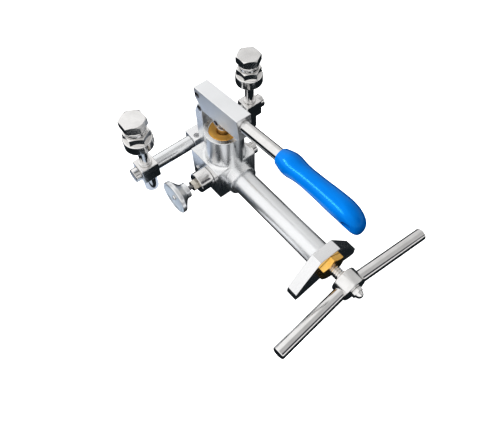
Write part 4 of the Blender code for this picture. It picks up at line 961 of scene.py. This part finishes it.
def makeKnobScrew(s):
    shank, face = s["screwShank"], s["low"] + s["faceAt"]
    screw = turned([(shank, face - s["screwLength"]), (shank, face), (s["screwHead"], face)]
                   + roundedRim(s["screwHead"], face + s["screwHeight"], 1.0, 4)
                   + [(0.0, face + s["screwHeight"] + 0.2)], 64)
    screw = worked(screw, [hexBar(s["screwSocket"], face + 0.6, face + 5)])
    return placed(screw, outLeft, valveSpot)


finishPiece("ventKnob", makeKnob(knobSizes), knobFinish, "vent_knob", "vent_knob")
finishPiece("knobScrew", makeKnobScrew(knobSizes), valveSteel, "knob_screw", "vent_knob")


# Check valve on the right

checkSizes = dict(
    flats=22.0, length=9.5, spigot=8.0, spigotLength=7.0, cavity=5.0, cavityFloor=-5.0,
    port=2.0, cap=8.6, capLow=9.8, capHigh=17.8, capSpigot=4.7, capInner=3.0,
    capBore=1.9,
)
checkSpot = (30.0, 0.0, pressHeight)


def makeCheckBody(s):
    body = softened(roundedHex(s["flats"], seam, s["length"], 1.8), 0.3, 2, 12)
    body = worked(body, [rod(s["spigot"], -s["spigotLength"], 2.0, 64)], "UNION")
    return placed(worked(body, [rod(s["cavity"], s["cavityFloor"], s["length"] + past, 48),
                                rod(s["port"], -s["spigotLength"] - past, 0, 24)]), outRight, checkSpot)


def makeCheckCap(s):
    cap = turned([(s["cap"] - 0.4, s["capLow"]), (s["cap"], s["capLow"] + 0.4)]
                 + roundedRim(s["cap"], s["capHigh"], 1.0, 4), 96)
    cap = worked(cap, [rod(s["capSpigot"], s["capInner"], s["capLow"] + 1, 48)], "UNION")
    bore = rod(s["capBore"], s["capInner"] - past, s["capHigh"] + past, 24)
    return placed(worked(cap, [bore]), outRight, checkSpot)


finishPiece("checkValveBody", makeCheckBody(checkSizes), valveSteel, "check_valve_body")
finishPiece("checkValveCap", makeCheckCap(checkSizes), valveSteel, "check_valve_cap")
print("valves done")


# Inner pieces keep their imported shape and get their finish

innerFinishes = {
    "pump_piston": guideBrass, "piston_nut": pumpSteelPaintedShade, "piston_seal": sealRubber,
    "press_plunger": pressSteel, "plunger_seal_inner": sealRubber, "plunger_seal_outer": sealRubber,
    "left_face_seal": sealRubber, "right_face_seal": sealRubber, "vent_needle": valveSteel,
    "check_poppet": valveSteel,
}
for node, finish in innerFinishes.items():
    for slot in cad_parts[node].material_slots:
        slot.material = finish
print("inner pieces finished")


# Studio: pale floor, soft light all round, camera

studio = dict(
    floorSize=6.0, floorColour=(0.9, 0.9, 0.9), floorGlow=0.95, backdropRadius=9.0,
    sheetLift=0.0002, glow=(1, 1, 1), horizon=(-0.05, 0.03),
    above=(0.92, 0.92, 0.92), below=(0.012, 0.016, 0.019),
    # patches of the room, painted over each other: direction, colour, cosine at the rim and where it is full
    abovePatches=[
        ((0.90, 0.20, 0.35), (0.58, 0.58, 0.58), 0.55, 0.90),  # grey wall on the right
        ((0.33, -0.30, 0.89), (0.48, 0.48, 0.48), 0.80, 0.92),  # photographer's side
        ((0.33, -0.84, 0.43), (0.05, 0.05, 0.06), 0.955, 0.985),  # dark stand in front
    ],
    belowPatches=[
        ((0.30, -0.95, 0.05), (0.95, 0.95, 0.95), 0.975, 0.99),  # white bench in front
    ],
    # sheets on the bench that only reflections see: lowest and highest x, lowest and highest y, colour
    sheets=dict(whiteSheetNear=(-0.075, -0.046, -0.080, 0.025, (0.90, 0.91, 0.93)),
               whiteSheetFar=(-0.22, -0.075, -0.05, 0.025, (0.90, 0.91, 0.93)),
               blueSheetLeft=(-0.14, -0.091, 0.06, 0.125, (0.50, 0.57, 0.66)),
               blueSheetBehind=(-0.118, -0.045, 0.130, 0.26, (0.56, 0.63, 0.75)),
               greySheetRight=(0.042, 0.10, -0.05, 0.012, (0.50, 0.52, 0.54))),
    softbox=dict(spot=(-0.72, 0.36, 0.68), target=(0, 0, 0.1), width=1.0, depth=0.20,
                power=9.0),
)


def stageSurface(name, shape, finishName, glow, strength=1.0, base=(0, 0, 0), roughness=0.5):
    mesh = bpy.data.meshes.new(name)
    shape.to_mesh(mesh)
    shape.free()
    finish, tree, shader, _ = newFinish(finishName)
    connect(tree, shader, {"Base Color": (*base, 1), "Roughness": roughness, "Specular IOR Level": 0.0,
                           "Emission Color": (*glow, 1), "Emission Strength": strength})
    mesh.materials.append(finish)
    surface = bpy.data.objects.new(name, mesh)
    bpy.context.collection.objects.link(surface)
    return surface


def makeFloor(s):
    shape = bmesh.new()
    bmesh.ops.create_grid(shape, x_segments=1, y_segments=1, size=s["floorSize"] / 2)
    floor = stageSurface("studioFloor", shape, "paleFloor", s["glow"], s["floorGlow"], s["floorColour"], 1.0)
    # metal shows the studio's dark lower half, as in the photograph
    floor.visible_glossy = floor.visible_diffuse = False


def makeBackdrop(s):
    shape = bmesh.new()
    bmesh.ops.create_uvsphere(shape, u_segments=48, v_segments=24, radius=s["backdropRadius"])
    bmesh.ops.reverse_faces(shape, faces=shape.faces)
    backdrop = stageSurface("studioBackdrop", shape, "paleBackdrop", s["glow"])
    # the camera alone sees it; the pieces are lit by the room behind it
    backdrop.visible_diffuse = backdrop.visible_glossy = backdrop.visible_shadow = False
    backdrop.visible_transmission = backdrop.visible_volume_scatter = False


def makeSheet(s, name):
    left, right, front, back, colour = s["sheets"][name]
    shape = bmesh.new()
    bmesh.ops.create_grid(shape, x_segments=1, y_segments=1, size=0.5)
    bmesh.ops.scale(shape, verts=shape.verts, vec=(right - left, back - front, 1))
    middle = ((left + right) / 2, (front + back) / 2, s["sheetLift"])
    bmesh.ops.translate(shape, verts=shape.verts, vec=middle)
    sheet = stageSurface(name, shape, name, colour)
    sheet.visible_camera = sheet.visible_diffuse = sheet.visible_shadow = False


def facing(tree, where, direction, low, high):
    # 1 where the light comes from within a cone round direction, 0 outside it, soft between
    toward = added(tree, "VectorMath", {0: where, 1: Vector(direction).normalized()}, operation="DOT_PRODUCT")
    return spread(tree, toward.outputs["Value"], 0.0, 1.0, low, high)


def makeSurroundings(s):
    world = bpy.data.worlds.new("studio")
    world.use_nodes = True
    tree = world.node_tree
    where = added(tree, "TexCoord", {}).outputs["Generated"]
    halves = []
    for side in ("below", "above"):
        half = s[side]
        for direction, colour, rim, full in s[side + "Patches"]:
            half = mixed(tree, facing(tree, where, direction, rim, full), half, colour)
        halves.append(half)
    room = mixed(tree, facing(tree, where, upward, *s["horizon"]), *halves)
    connect(tree, tree.nodes["Background"], {"Color": room})
    bpy.context.scene.world = world


def addSoftbox(name, s, pieces):
    light = bpy.data.lights.new(name, "AREA")
    light.shape, light.size, light.size_y, light.energy = "RECTANGLE", s["width"], s["depth"], s["power"]
    lamp = bpy.data.objects.new(name, light)
    lamp.location = s["spot"]
    lamp.rotation_euler = (Vector(s["target"]) - Vector(s["spot"])).to_track_quat("-Z", "Y").to_euler()
    bpy.context.collection.objects.link(lamp)
    lit = bpy.data.collections.new(name + "Pieces")  # the lamp lights these pieces alone
    for piece in pieces:
        lit.objects.link(piece)
    lamp.light_linking.receiver_collection = lit


cameraSizes = dict(
    spot=(-0.228617, -0.25523, 0.54162), yaw=-0.66245, pitch=-1.00017, roll=-0.02744,
    lens=35.01, film=36.0,
)


def makeCamera(s):
    ahead = Vector((-math.sin(s["yaw"]) * math.cos(s["pitch"]), math.cos(s["yaw"]) * math.cos(s["pitch"]),
                    math.sin(s["pitch"])))
    level = Vector((math.cos(s["yaw"]), math.sin(s["yaw"]), 0))
    up = level.cross(ahead)
    right = math.cos(s["roll"]) * level + math.sin(s["roll"]) * up
    up = -math.sin(s["roll"]) * level + math.cos(s["roll"]) * up
    lens = bpy.data.cameras.new("photoCamera")
    lens.lens, lens.sensor_width = s["lens"], s["film"]
    lens.clip_start, lens.clip_end = 0.01, 20.0
    camera = bpy.data.objects.new("photoCamera", lens)
    matrix = Matrix((right, up, -ahead)).transposed().to_4x4()
    matrix.translation = Vector(s["spot"])
    camera.matrix_world = matrix
    bpy.context.collection.objects.link(camera)
    bpy.context.scene.camera = camera


makeFloor(studio)
makeBackdrop(studio)
for name in studio["sheets"]:
    makeSheet(studio, name)
makeSurroundings(studio)
addSoftbox("softboxLeft", studio["softbox"], [leverGrip])
makeCamera(cameraSizes)
bpy.context.scene.view_settings.view_transform = "Standard"
bpy.context.scene.view_settings.look = "Medium High Contrast"
print("studio done")
